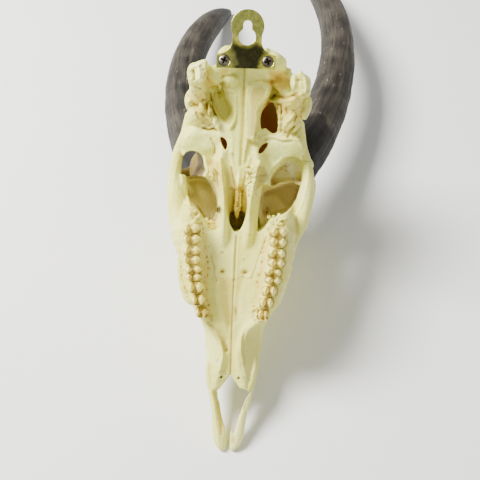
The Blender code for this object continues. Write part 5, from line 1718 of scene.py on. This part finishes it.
def crumbs_between(chance, low, high, count, radii, place_of):
    """Loose crumbs of bone, strewn between two corners of a room, with radii between these two."""
    crumbs = []
    for _ in range(count):
        place = place_of(*chance.uniform(low, high))
        crumbs.append(ball("crumb", place, chance.uniform(*radii, 3), rings=8))
    return crumbs


def small_bones():
    """Splinters, crumbs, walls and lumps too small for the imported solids."""
    pieces = [photo_room("vomer_bed", (14, VOMER_BED), (24, VOMER_BED))]
    pieces += [rounded_lump("knob", *lump) for lump in LUMPS]
    pieces.append(photo_tube("cheek_flank", CHEEK_FLANK))
    pieces += [photo_ball("jugular", place, radii) for place, radii in JUGULAR_LUMPS]
    pieces += [tube("palatine_wall", sided(PALATINE_WALL, s)) for s in SIDES]
    pieces += [photo_ball("flake", place, radii, turn) for place, radii, turn in EAR_FLAKES]
    for x, y, z, size in JAGS:
        pieces.append(photo_ball("jag", (x, y, z + 1.5), (size * 0.7, size, 3.0), (0, 12, 25)))
    chance = np.random.default_rng(SEED)
    for s in SIDES:
        pieces += crumbs_between(chance, *TOOTH_CRUMBS, (0.8, 1.7), lambda x, y, z: (s * x, y, z))
    return pieces


def late_bones():
    """The ridge in the throat's opening, the left arch's inner flange, splinters and loose crumbs."""
    pieces = [photo_tube("vomer_ridge", VOMER_RIDGE), photo_tube("arch_flange", ARCH_FLANGE)]
    pieces += [photo_tube("splinter", row) for row in SPLINTER_ROWS]
    chance = np.random.default_rng(SEED)
    for low, high, count in CRUMB_PLACES:
        pieces += crumbs_between(chance, low, high, count, (0.7, 1.5), from_photo)
    return pieces


def skull_bone():
    """The whole bony skull as one fine body, before it is parted."""
    body = cut(main_masses(), openings())
    body = clay_body("skull", [body] + fine_bones() + small_bones(), FINE_CLAY, 5)
    body = cut(body, basic_holes())
    return settled_askew(clay_body("skull", [body] + late_bones(), FINE_CLAY, 2))


def wavy(outline, x):
    """The outline in short steps, wandering a little like a suture, differently at each x."""
    points = np.array(outline, float)
    steps = []
    for a, b in zip(points, np.roll(points, -1, axis=0)):
        steps.append(np.linspace(a, b, max(2, int(np.hypot(*(b - a)) / 1.2)), endpoint=False))
    fine = np.vstack(steps)
    spots = np.column_stack([np.full(len(fine), x), fine])
    shift = [0.5 * soft_noise(spots, 4.5, k) + 0.25 * soft_noise(spots, 2.0, k) for k in (20, 21)]
    return fine + np.stack(shift, axis=1)


def wavy_block(outline, low, high, by):
    """A block with a wandering outline given from the side, from x low to x high."""
    rings = []
    for x in np.linspace(low - by, high + by, int((high - low) / 1.5)):
        rings.append([(x, y, z) for y, z in widened(wavy(outline, x), by)])
    return loft("area", rings)


def parted(body, make_area):
    """Takes what lies inside an area out of the body, leaving a hairline gap."""
    taken = body.copy()
    taken.data = body.data.copy()
    bpy.context.scene.collection.objects.link(taken)
    taken = cut(taken, [make_area(0)], operation="INTERSECT")
    return cut(body, [make_area(SUTURE)]), taken


def bones():
    """The skull's bones, each its own body."""
    body = skull_bone()
    cutters = [horn_plug(s) for s in SIDES] + [screw_body("screw_way", s, GAP) for s in SIDES]
    cutters += tooth_sockets()
    cutters.append(box("plate_seat", (-22, 222, -30), (18, 250, PLATE_Z)))
    body = cut(body, cutters)
    areas = {
        "nasals": nasal_block,
        "premaxilla_left": lambda by: wavy_block(PREMAXILLA_AREA, 0, 30, by),
        "premaxilla_right": lambda by: wavy_block(PREMAXILLA_AREA, -30, 0, by),
        "zygomatic_left": lambda by: wavy_block(CHEEK_AREA, 33, 60, by),
        "zygomatic_right": lambda by: wavy_block(CHEEK_AREA, -60, -33, by),
        "frontal": lambda by: wavy_block(FRONTAL_AREA, -60, 60, by),
        "braincase": lambda by: wavy_block(CRANIUM_AREA, -60, 60, by),
    }
    found = {}
    for name, make_area in areas.items():
        body, found[name] = parted(body, make_area)
    found["face"] = body
    for name, bone in found.items():
        bone.name = name
    return found


def horn_plug(s):
    """The room that a horn takes in the bone, with its gap."""
    points, runs = horn_line(s, 12)
    points[0] -= runs[0] * GAP
    radii = np.interp((0, 0.09, 0.18), *np.array(HORN_RADII).T) + GAP
    rows = [(*point, radius, radius) for point, radius in zip(points[:3], radii)]
    return tube("horn_room", rows, sides=48, count=12)


def tooth_sockets():
    sockets = []
    for s in SIDES:
        for _, front, back, middle, half, lobes, _ in TEETH:
            outline = tooth_outline(s, front - GAP, back + GAP, middle, half + GAP, lobes, 48)
            sockets.append(prism("socket", outline, CROWN_TOP - 3, CROWN_ROOT + GAP))
    return sockets


def pyramid(u, w, at, wide, long):
    """A cusp with four nearly flat sides, one high."""
    across = np.sqrt(((u - at) / wide) ** 2 + 0.004)
    along = np.sqrt((w / long) ** 2 + 0.004)
    return np.clip(1.1 - across - along, 0, 1)


def crescents(u, w, shift):
    """One lobe's two cusps, across (cheek side 1) and along (-1 to 1): height and grooves."""
    outer = 0.52 + 0.24 * w**2 + shift[0]
    inner = -0.50 + 0.45 * w**2 + shift[1]
    high = 4.4 * pyramid(u, w, 0.56 + shift[0], 0.48, 1.00)
    low = 4.0 * pyramid(u, w - 0.12, -0.42 + shift[1], 0.58, 1.05)
    crest = 1.3 * np.exp(-(((u - outer) / 0.08) ** 2)) * (1 - 0.5 * np.abs(w))
    rim = 1.2 * np.exp(-(((u - inner) / 0.10) ** 2)) * (1 - 0.5 * np.abs(w))
    valley = np.exp(-(((u - 0.12 - 0.2 * w**2) / 0.16) ** 2)) * (1 - 0.7 * np.abs(w) ** 3)
    outer_lake = np.exp(-(((u - outer + 0.16) / 0.08) ** 2)) * np.clip(1 - w**2, 0, 1)
    inner_lake = np.exp(-(((u - inner - 0.17) / 0.10) ** 2)) * np.clip(1 - w**2, 0, 1)
    rise = np.maximum(high + crest, low + rim) - 0.9 * valley - 0.35 * inner_lake - 0.25 * outer_lake
    return rise, valley, outer_lake, inner_lake


def chewing_surface(u, v, lobes, seed):
    """Height and colour masks over a whole crown, v running from its front to its back."""
    chance = np.random.default_rng(seed)
    total = [np.zeros(len(u)) for _ in range(4)]
    gap = np.zeros(len(u))
    for lobe in range(lobes):
        shift = chance.uniform(-0.08, 0.08, 2)
        scale = chance.uniform(0.85, 1.1)
        w = 2 * (v * lobes - lobe) - 1 + chance.uniform(-0.1, 0.1)
        near = smooth_step((1.25 - np.abs(w)) / 0.3)
        for k, values in enumerate(crescents(u, np.clip(w, -1.2, 1.2), shift)):
            total[k] += values * near * scale
        gap = np.maximum(gap, np.exp(-(((np.abs(w) - 1) / 0.16) ** 2)) * (np.abs(v - 0.5) < 0.42))
    total[0] -= 0.9 * gap
    return (*total, gap)


def tooth(name, s, front, back, middle, half, lobes, left_over):
    """A crown with a cheek-side and a tongue-side crescent on each lobe, and valleys between, stained and
    darkened with painted shade.
    """
    count, across = 112, 44
    outline = np.array(tooth_outline(s, front, back, middle, half, lobes, count))
    centre = np.array([s * middle, (front + back) / 2])
    seed = sum(map(ord, name))
    rings = []
    for z, z_left, grow in CROWN_RINGS:
        level = np.full(count, z + z_left * left_over)
        rings.append(np.column_stack([centre + (outline - centre) * grow, level]))
    for k in range(across + 1):
        reach = math.sin(math.pi / 2 * (1 - k / across)) * 0.97 + 0.012
        ring = centre + (outline - centre) * reach
        u = (ring[:, 0] * s - middle) / half
        v = (ring[:, 1] - front) / (back - front)
        rise = chewing_surface(u, v, lobes, seed)[0]
        edge = 1 - smooth_step((reach - 0.84) / 0.16)
        spots = np.column_stack([ring, np.full(count, 0.0)])
        z = (CROWN_TOP + 1.3) * left_over - rise * left_over * (0.35 + 0.65 * edge) + 0.8 * (1 - edge)
        z += 0.10 * rough_noise(spots, 1.3, seed % 9)
        if left_over < WORN_STUMP:
            z += 0.9 * rough_noise(spots, 2.4, seed % 9) + 1.4 * (edge - 0.5)
        rings.append(np.column_stack([ring, z]))
    obj = loft(name, rings)
    points = points_of(obj)
    u = (points[:, 0] * s - middle) / half
    v = (points[:, 1] - front) / (back - front)
    rise, valley, outer_lake, inner_lake, gap = chewing_surface(u, v, lobes, seed)
    top = smooth_step((CROWN_TOP * left_over + 2.6 - points[:, 2]) / 1.2)
    colours = np.ones((len(points), 3)) * ENAMEL
    low = smooth_step((points[:, 2] + 5.5) / 3.0)
    flank = top * smooth_step((2.6 - rise) / 1.6)
    gum = np.maximum(low * 0.7, flank * 0.85) + 0.2 * rough_noise(points, 2.0, 3)
    colours = toned(colours, gum, GUM_STAIN)
    colours = toned(colours, top * (0.5 * outer_lake + 0.6 * inner_lake), DENTINE)
    # Low places and the gaps between lobes darken: partly stain, partly painted shade.
    colours = toned(colours, top * smooth_step((0.9 - rise) / 1.2) * 0.9, VALLEY_STAIN_AND_SHADE)
    colours = toned(colours, top * gap * 0.8, VALLEY_STAIN_AND_SHADE)
    if left_over < WORN_STUMP:
        colours = toned(colours, top * smooth_step(rough_noise(points, 1.6, 4) + 0.3) * 0.8, DENTINE)
    set_colours(obj, "stain", colours)
    return obj


def horn_keel(around, share, sharp):
    """One along the keel, which winds round the horn, and falling off beside it."""
    return np.clip(np.cos(around - HORN_TWIST * share + HORN_KEEL_START), 0, 1) ** sharp


def horn_reach(way, share, radius, turns):
    """How far out the skin of a horn lies all round: its keel, its rings near the base and its grain."""
    long = way[0, 2]
    keel = 1 + HORN_KEEL * horn_keel(turns, share, 6) * (1 - share)
    stripe = way * (1, 1, 0.05)
    grain = 0.26 * soft_noise(stripe, 2.2, 1) + 0.18 * soft_noise(stripe, 0.9, 2)
    fade = smooth_step((0.75 - share) / 0.4)
    wave = soft_noise(way * (0.08, 0.08, 1), 5.0, 3)
    swell = fade * (0.4 * wave + 0.05 * math.sin(long * 0.9 + 2 * math.sin(long * 0.11)))
    return radius * keel + grain * (1 - 0.7 * share) + swell


def horn_colours(ways, s):
    """Scuffs, flecks, a worn keel, dark patches, a dark base that on the left horn is partly painted shadow,
    and the left horn's dark tip.
    """
    long = ways[:, 2]
    share = long / HORN_LENGTHS[s]
    around = np.arctan2(ways[:, 1], ways[:, 0])
    scuffs = smooth_step(2.6 * rough_noise(ways * (1, 1, 0.08), 2.0, 8) - 1.3)
    flecks = smooth_step(4 * rough_noise(ways * (1, 1, 0.5), 1.8, 9) - 3.6)
    keel = horn_keel(around, share, 30) * smooth_step((0.8 - share) / 0.3)
    patches = smooth_step(1.6 * rough_noise(ways * (1, 1, 0.35), 13, 5) - 0.1)
    base = smooth_step((HORN_BLACK_AND_SHADOW_REACH[s] - long + 8 * soft_noise(ways, 9, 4)) / 10)
    colours = toned(np.ones((len(ways), 3)), 0.22 * scuffs, HORN_SCUFF)
    colours = toned(colours, 0.9 * (flecks * smooth_step((long - 30) / 20)), HORN_FLECK)
    colours = toned(colours, keel * 0.8, HORN_KEEL_TONE)
    colours = toned(colours, 0.75 * patches, HORN_BLACK)
    colours = toned(colours, smooth_step((share - 0.84) / 0.07) * (s > 0), HORN_TIP)
    return toned(colours, 0.85 * base, HORN_BLACK)


def horn(s):
    """One horn: a tapered, keeled tube that turns about its own middle line, with rings and striations."""
    count = int(HORN_LENGTHS[s] / HORN_STEP)
    points, runs = horn_line(s, count)
    shares = np.linspace(0, 1, count)
    radii = np.interp(shares, *np.array(HORN_RADII).T)
    turns = 2 * math.pi * np.arange(HORN_SIDES) / HORN_SIDES
    rings, ways = [], []
    for point, run, share, radius in zip(points, runs, shares, radii):
        run = Vector(run).normalized()
        across = Vector((s, 0, 0)) - run * run.x * s
        across.normalize()
        up = run.cross(across) * s
        long = np.full(HORN_SIDES, share * HORN_LENGTHS[s])
        way = np.column_stack([HORN_GRAIN_RADIUS * np.cos(turns), HORN_GRAIN_RADIUS * np.sin(turns), long])
        reach = horn_reach(way, share, radius, turns)
        sideways = np.outer(reach * np.cos(turns), across)
        rings.append(np.array(point) + sideways + np.outer(reach * np.sin(turns), up))
        ways.append(way)
    end, end_run, end_radius = np.array(points[-1]), np.array(Vector(runs[-1]).normalized()), radii[-1]
    last = rings[-1].copy()
    for share in HORN_TIP_SHARES:
        rings.append(end + end_run * end_radius * share + (last - end) * math.sqrt(1 - share**2))
        ways.append(ways[-1] + (0, 0, end_radius * 0.2))
    obj = loft("horn_left" if s > 0 else "horn_right", rings)
    ways = np.vstack(ways)
    way = obj.data.attributes.new("way", "FLOAT_VECTOR", "POINT")
    way.data.foreach_set("vector", (ways * MM).ravel().astype(np.float32))
    set_colours(obj, "stain", horn_colours(ways, s))
    return obj


def hanger_plate():
    """The brass hanger: a thin sheet with a keyhole, a little bent by hand."""
    outline = [on_plate(x, y) for x, y in plate_outline()]
    plate = prism("hanger_plate", outline, PLATE_Z - PLATE_THICK, PLATE_Z)
    keyhole = [on_plate(x, y) for x, y in keyhole_outline()]
    cutters = [prism("keyhole", keyhole, PLATE_Z - 5, PLATE_Z + 5)]
    cutters += [screw_body("screw_hole", s, GAP) for s in SIDES]
    plate = cut(plate, cutters, solver="EXACT")
    bevel = plate.modifiers.new("bevel", "BEVEL")
    bevel.width = 0.25 * MM
    bevel.segments = 3
    bevel.limit_method = "ANGLE"
    bevel.angle_limit = math.radians(35)
    baked(plate)
    bands(plate, 1, PLATE_Y, PLATE_Y + PLATE_REACH, 56)
    bands(plate, 0, PLATE_X - PLATE_HALF, PLATE_X + PLATE_HALF, 56)
    points = points_of(plate)
    reach = np.clip((points[:, 1] - PLATE_Y - 3) / (PLATE_REACH - 3), 0, 1)
    points[:, 2] -= PLATE_BEND * reach**2
    flat = points * (1, 1, 0)
    points[:, 2] += 0.05 * soft_noise(flat, 7.0, 5) + 0.012 * soft_noise(flat, 2.2, 6)
    right_ear = np.clip(PLATE_X - 10.5 - points[:, 0], 0, None)
    points[:, 2] += EAR_BEND * right_ear**2 / 7
    move_points(plate, points)
    spots = in_photo(points)[0]
    colours = np.ones((len(points), 3)) * BRIGHT_BRASS
    wander = 2.2 * np.stack([rough_noise(points, 6.0, k) for k in (40, 41)], axis=1)
    # Olive tarnish that is partly painted reflection, and a painted dark reflection.
    for tone, share, soft, outline in PLATE_TARNISH_AND_REFLECTIONS:
        colours = toned(colours, share * area_share(spots + wander, outline, soft), tone)
    mottle = smooth_step(1.5 * rough_noise(points, 2.0, 14) + 0.4)
    colours *= (0.70 + 0.30 * mottle)[:, None]
    set_colours(plate, "stain", colours)
    return plate


def bands(obj, axis, low, high, count):
    """Slices the object's faces across one axis, so that it can bend and take colours point by point."""
    bm = bmesh.new()
    bm.from_mesh(obj.data)
    way = Vector([float(k == axis) for k in range(3)])
    for at in np.linspace(low, high, count + 2)[1:-1]:
        everything = bm.verts[:] + bm.edges[:] + bm.faces[:]
        bmesh.ops.bisect_plane(bm, geom=everything, plane_co=way * at * MM, plane_no=way)
    bm.to_mesh(obj.data)
    bm.free()


def screw(s):
    """One wood screw with a cross recess in its head."""
    body = screw_body("screw_left" if s > 0 else "screw_right", s, 0)
    x, y = on_plate(s * SCREW_X, SCREW_Y)
    face = PLATE_Z - PLATE_THICK
    long, wide = CROSS_HALF
    bars = []
    for turn in CROSS_TURNS:
        bar = box("cross", (-long, -wide, face - 3), (long, wide, face + 0.4))
        turned = Matrix.Rotation(math.radians(turn * s), 4, "Z")
        bar.data.transform(Matrix.Translation(Vector((x, y, 0)) * MM) @ turned)
        bars.append(bar)
    body = cut(body, bars, solver="EXACT")
    points = points_of(body)
    off = np.hypot(points[:, 0] - x, points[:, 1] - y)
    # The cross recess is darkened with grime and painted shade, and the rim of the head half as much.
    recess = (off < 2.4) * smooth_step((points[:, 2] - face + 0.1) / 0.3)
    rim = smooth_step((off - 2.6) / 0.8)
    set_colours(body, "stain", toned(np.ones((len(points), 3)), np.maximum(recess, 0.5 * rim), GRIME_AND_SHADE))
    return body


def node(tree, kind, **values):
    made = tree.nodes.new(kind)
    for name, value in values.items():
        setattr(made, name, value)
    return made


def noise(tree, vector, scale, detail=4.0, rough=0.55):
    made = node(tree, "ShaderNodeTexNoise")
    made.inputs["Scale"].default_value = scale
    made.inputs["Detail"].default_value = detail
    made.inputs["Roughness"].default_value = rough
    tree.links.new(vector, made.inputs["Vector"])
    return made.outputs["Fac"]


def ramp(tree, value, stops):
    made = node(tree, "ShaderNodeValToRGB")
    elements = made.color_ramp.elements
    while len(elements) < len(stops):
        elements.new(0.5)
    for element, (at, colour) in zip(elements, stops):
        element.position = at
        element.color = (*colour, 1.0)
    tree.links.new(value, made.inputs["Fac"])
    return made.outputs["Color"]


def mixed(tree, blend, share, first, second):
    made = node(tree, "ShaderNodeMix", data_type="RGBA", blend_type=blend)
    made.inputs["Factor"].default_value = share
    tree.links.new(first, made.inputs[6])
    tree.links.new(second, made.inputs[7])
    return made.outputs[2]


def bumped(tree, shader, heights):
    """Adds fine relief from rows of (value, strength, distance in millimetres)."""
    last = None
    for value, strength, distance in heights:
        bump = node(tree, "ShaderNodeBump")
        bump.inputs["Strength"].default_value = strength
        bump.inputs["Distance"].default_value = distance * MM
        tree.links.new(value, bump.inputs["Height"])
        if last:
            tree.links.new(last, bump.inputs["Normal"])
        last = bump.outputs["Normal"]
    tree.links.new(last, shader.inputs["Normal"])


def new_material(name, roughness, metallic=0.0, specular=None):
    mat = bpy.data.materials.new(name)
    mat.use_nodes = True
    tree = mat.node_tree
    shader = tree.nodes["Principled BSDF"]
    shader.inputs["Roughness"].default_value = roughness
    shader.inputs["Metallic"].default_value = metallic
    if specular is not None:
        shader.inputs["Specular IOR Level"].default_value = specular
    return mat, tree, shader


def attribute(tree, name="stain", output="Color"):
    return node(tree, "ShaderNodeAttribute", attribute_name=name).outputs[output]


def object_place(tree):
    return node(tree, "ShaderNodeTexCoord").outputs["Object"]


def stretched(tree, vector, scale):
    """The vector scaled along each axis, so that noise on it draws out into streaks."""
    made = node(tree, "ShaderNodeMapping")
    made.inputs["Scale"].default_value = scale
    tree.links.new(vector, made.inputs["Vector"])
    return made.outputs["Vector"]


def reckoned(tree, operation, value, socket, constant):
    """A sum on a value with a constant in the other socket."""
    made = node(tree, "ShaderNodeMath", operation=operation)
    made.inputs[socket].default_value = constant
    tree.links.new(value, made.inputs[1 - socket])
    return made.outputs[0]


def bone_material():
    mat, tree, shader = new_material("bone", 0.55, specular=0.3)
    place = object_place(tree)
    broad = noise(tree, place, 45)
    fine = noise(tree, place, 700)
    ivory = ramp(tree, broad, ((0.3, BONE_COLOURS[1]), (0.5, BONE_COLOURS[0]), (0.7, BONE_COLOURS[2])))
    grain = ramp(tree, fine, ((0.35, BONE_GRAIN_DARK), (0.6, WHITE)))
    colour = mixed(tree, "MULTIPLY", 0.6, ivory, grain)
    # The vertex colours hold stains, and also painted shade and painted highlight.
    colour = mixed(tree, "MULTIPLY", 1.0, colour, attribute(tree))
    tree.links.new(colour, shader.inputs["Base Color"])
    pores = ramp(tree, noise(tree, place, 1500, 2.0), ((0.3, (0, 0, 0)), (0.45, WHITE)))
    bumped(tree, shader, ((fine, 0.35, 0.25), (pores, 0.25, 0.12)))
    # The deep rooms glow in their own colour: painted light.
    closed = reckoned(tree, "SUBTRACT", attribute(tree, output="Alpha"), 0, 1.0)
    glow = reckoned(tree, "MULTIPLY", closed, 1, PAINTED_INNER_GLOW)
    tree.links.new(colour, shader.inputs["Emission Color"])
    tree.links.new(glow, shader.inputs["Emission Strength"])
    return mat


def enamel_material():
    mat, tree, shader = new_material("enamel", 0.3, specular=0.35)
    fine = noise(tree, object_place(tree), 900)
    grain = ramp(tree, fine, ((0.35, ENAMEL_GRAIN_DARK), (0.6, WHITE)))
    colour = mixed(tree, "MULTIPLY", 0.7, attribute(tree), grain)
    tree.links.new(colour, shader.inputs["Base Color"])
    bumped(tree, shader, ((fine, 0.2, 0.12),))
    return mat


def horn_material():
    mat, tree, shader = new_material("horn", 0.6, specular=0.2)
    way = attribute(tree, "way", "Vector")
    fibres = noise(tree, stretched(tree, way, (1.0, 1.0, 0.06)), 900)
    dark = ramp(tree, noise(tree, way, 60), ((0.35, HORN_DARK), (0.65, HORN_LIGHT)))
    colour = mixed(tree, "MULTIPLY", 1.0, dark, ramp(tree, fibres, HORN_FIBRES))
    colour = mixed(tree, "MULTIPLY", 1.0, colour, attribute(tree))
    tree.links.new(colour, shader.inputs["Base Color"])
    bumped(tree, shader, ((fibres, 0.6, 0.3),))
    return mat


def brass_material():
    mat, tree, shader = new_material("brass", 0.14, 0.8)
    place = object_place(tree)
    scratches = noise(tree, stretched(tree, place, (1.0, 0.08, 0.08)), 1500)
    tarnish = noise(tree, place, 120)
    patina = ramp(tree, tarnish, ((0.35, PATINA), (0.65, WHITE)))
    colour = mixed(tree, "MULTIPLY", 1.0, patina, attribute(tree))
    tree.links.new(colour, shader.inputs["Base Color"])
    rough = ramp(tree, scratches, ((0.3, (0.10, 0.10, 0.10)), (0.7, (0.20, 0.20, 0.20))))
    tree.links.new(rough, shader.inputs["Roughness"])
    bumped(tree, shader, ((tarnish, 0.1, 0.2), (scratches, 0.03, 0.02)))
    return mat


def steel_material():
    mat, tree, shader = new_material("steel", 0.3, 1.0)
    stops = tuple(zip((0.35, 0.65), STEEL_COLOURS))
    metal = ramp(tree, noise(tree, object_place(tree), 500), stops)
    colour = mixed(tree, "MULTIPLY", 1.0, metal, attribute(tree))
    tree.links.new(colour, shader.inputs["Base Color"])
    return mat


def floor_material():
    mat, tree, shader = new_material("floor", 0.75)
    stops = tuple(zip((0.3, 0.7), FLOOR_COLOURS))
    tree.links.new(ramp(tree, noise(tree, object_place(tree), 3), stops), shader.inputs["Base Color"])
    return mat


def rest_matrix():
    """From the skull's own frame to the way it lies on the floor."""
    turn = Euler((REST_TILT, math.pi + REST_ROLL, 0), "YXZ").to_matrix().to_4x4()
    return Matrix.Translation(Vector(REST_PLACE) * MM) @ turn


def shown(obj, mat, cad_node):
    """Lays a finished piece down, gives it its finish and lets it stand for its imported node."""
    obj.name = "skin_" + cad_node
    obj.data.transform(rest_matrix())
    obj.data.materials.clear()
    obj.data.materials.append(mat)
    obj.data.shade_smooth()
    obj.data.set_sharp_from_angle(angle=SHARP_FOLD)
    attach(obj, "root")
    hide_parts(cad_node)


def add_skull():
    found = bones()
    nearest = nearest_faces(found.values())
    finish = bone_material()
    seams = {}
    for name, bone in found.items():
        seams[name] = seam_share(bone, [other for other in found.values() if other is not bone])
    for name, bone in found.items():
        carve_stain_and_shade(bone, nearest, seams[name])
        shown(bone, finish, name)


def add_teeth():
    finish = enamel_material()
    for s in SIDES:
        side_name = "left" if s > 0 else "right"
        for name, *sizes in TEETH:
            full_name = f"tooth_{name}_{side_name}"
            shown(tooth(full_name, s, *sizes), finish, full_name)


def add_horns_and_hanger():
    keratin, brass, steel = horn_material(), brass_material(), steel_material()
    for s, side_name in ((1, "left"), (-1, "right")):
        shown(horn(s), keratin, f"horn_{side_name}")
        shown(screw(s), steel, f"screw_{side_name}")
    shown(hanger_plate(), brass, "hanger_plate")


def add_floor():
    floor = box("floor", (-FLOOR_HALF, -FLOOR_HALF, -FLOOR_THICK), (FLOOR_HALF, FLOOR_HALF, 0))
    floor.data.materials.append(floor_material())


def add_camera():
    place, back = camera_place()
    camera = bpy.data.cameras.new("camera")
    camera.sensor_width = SENSOR
    camera.lens = SENSOR * CAMERA_SCALE * CAMERA_FAR / PHOTO_SIZE
    camera.clip_start = 0.01
    obj = bpy.data.objects.new("camera", camera)
    bpy.context.scene.collection.objects.link(obj)
    obj.matrix_world = rest_matrix() @ Matrix.Translation(place * MM) @ back.to_4x4()
    bpy.context.scene.camera = obj


def add_light(name, place, size, power, colour):
    data = bpy.data.lights.new(name, "AREA")
    data.shape = "SQUARE"
    data.size = size
    data.energy = power
    data.color = colour
    obj = bpy.data.objects.new(name, data)
    bpy.context.scene.collection.objects.link(obj)
    obj.location = place
    obj.rotation_euler = (Vector(LIGHT_AIM) - Vector(place)).to_track_quat("-Z", "Y").to_euler()


def add_lights():
    for light in LIGHTS:
        add_light(*light)
    world = bpy.data.worlds.new("studio")
    world.use_nodes = True
    tree = world.node_tree
    toward = node(tree, "ShaderNodeVectorMath", operation="DOT_PRODUCT")
    tree.links.new(node(tree, "ShaderNodeTexCoord").outputs["Generated"], toward.inputs[0])
    toward.inputs[1].default_value = DARK_SIDE
    back = tree.nodes["Background"]
    tree.links.new(ramp(tree, toward.outputs["Value"], SURROUNDINGS), back.inputs["Color"])
    back.inputs["Strength"].default_value = SURROUNDING_LIGHT
    bpy.context.scene.world = world


def build():
    add_skull()
    add_teeth()
    add_horns_and_hanger()
    add_floor()
    add_camera()
    add_lights()


build()
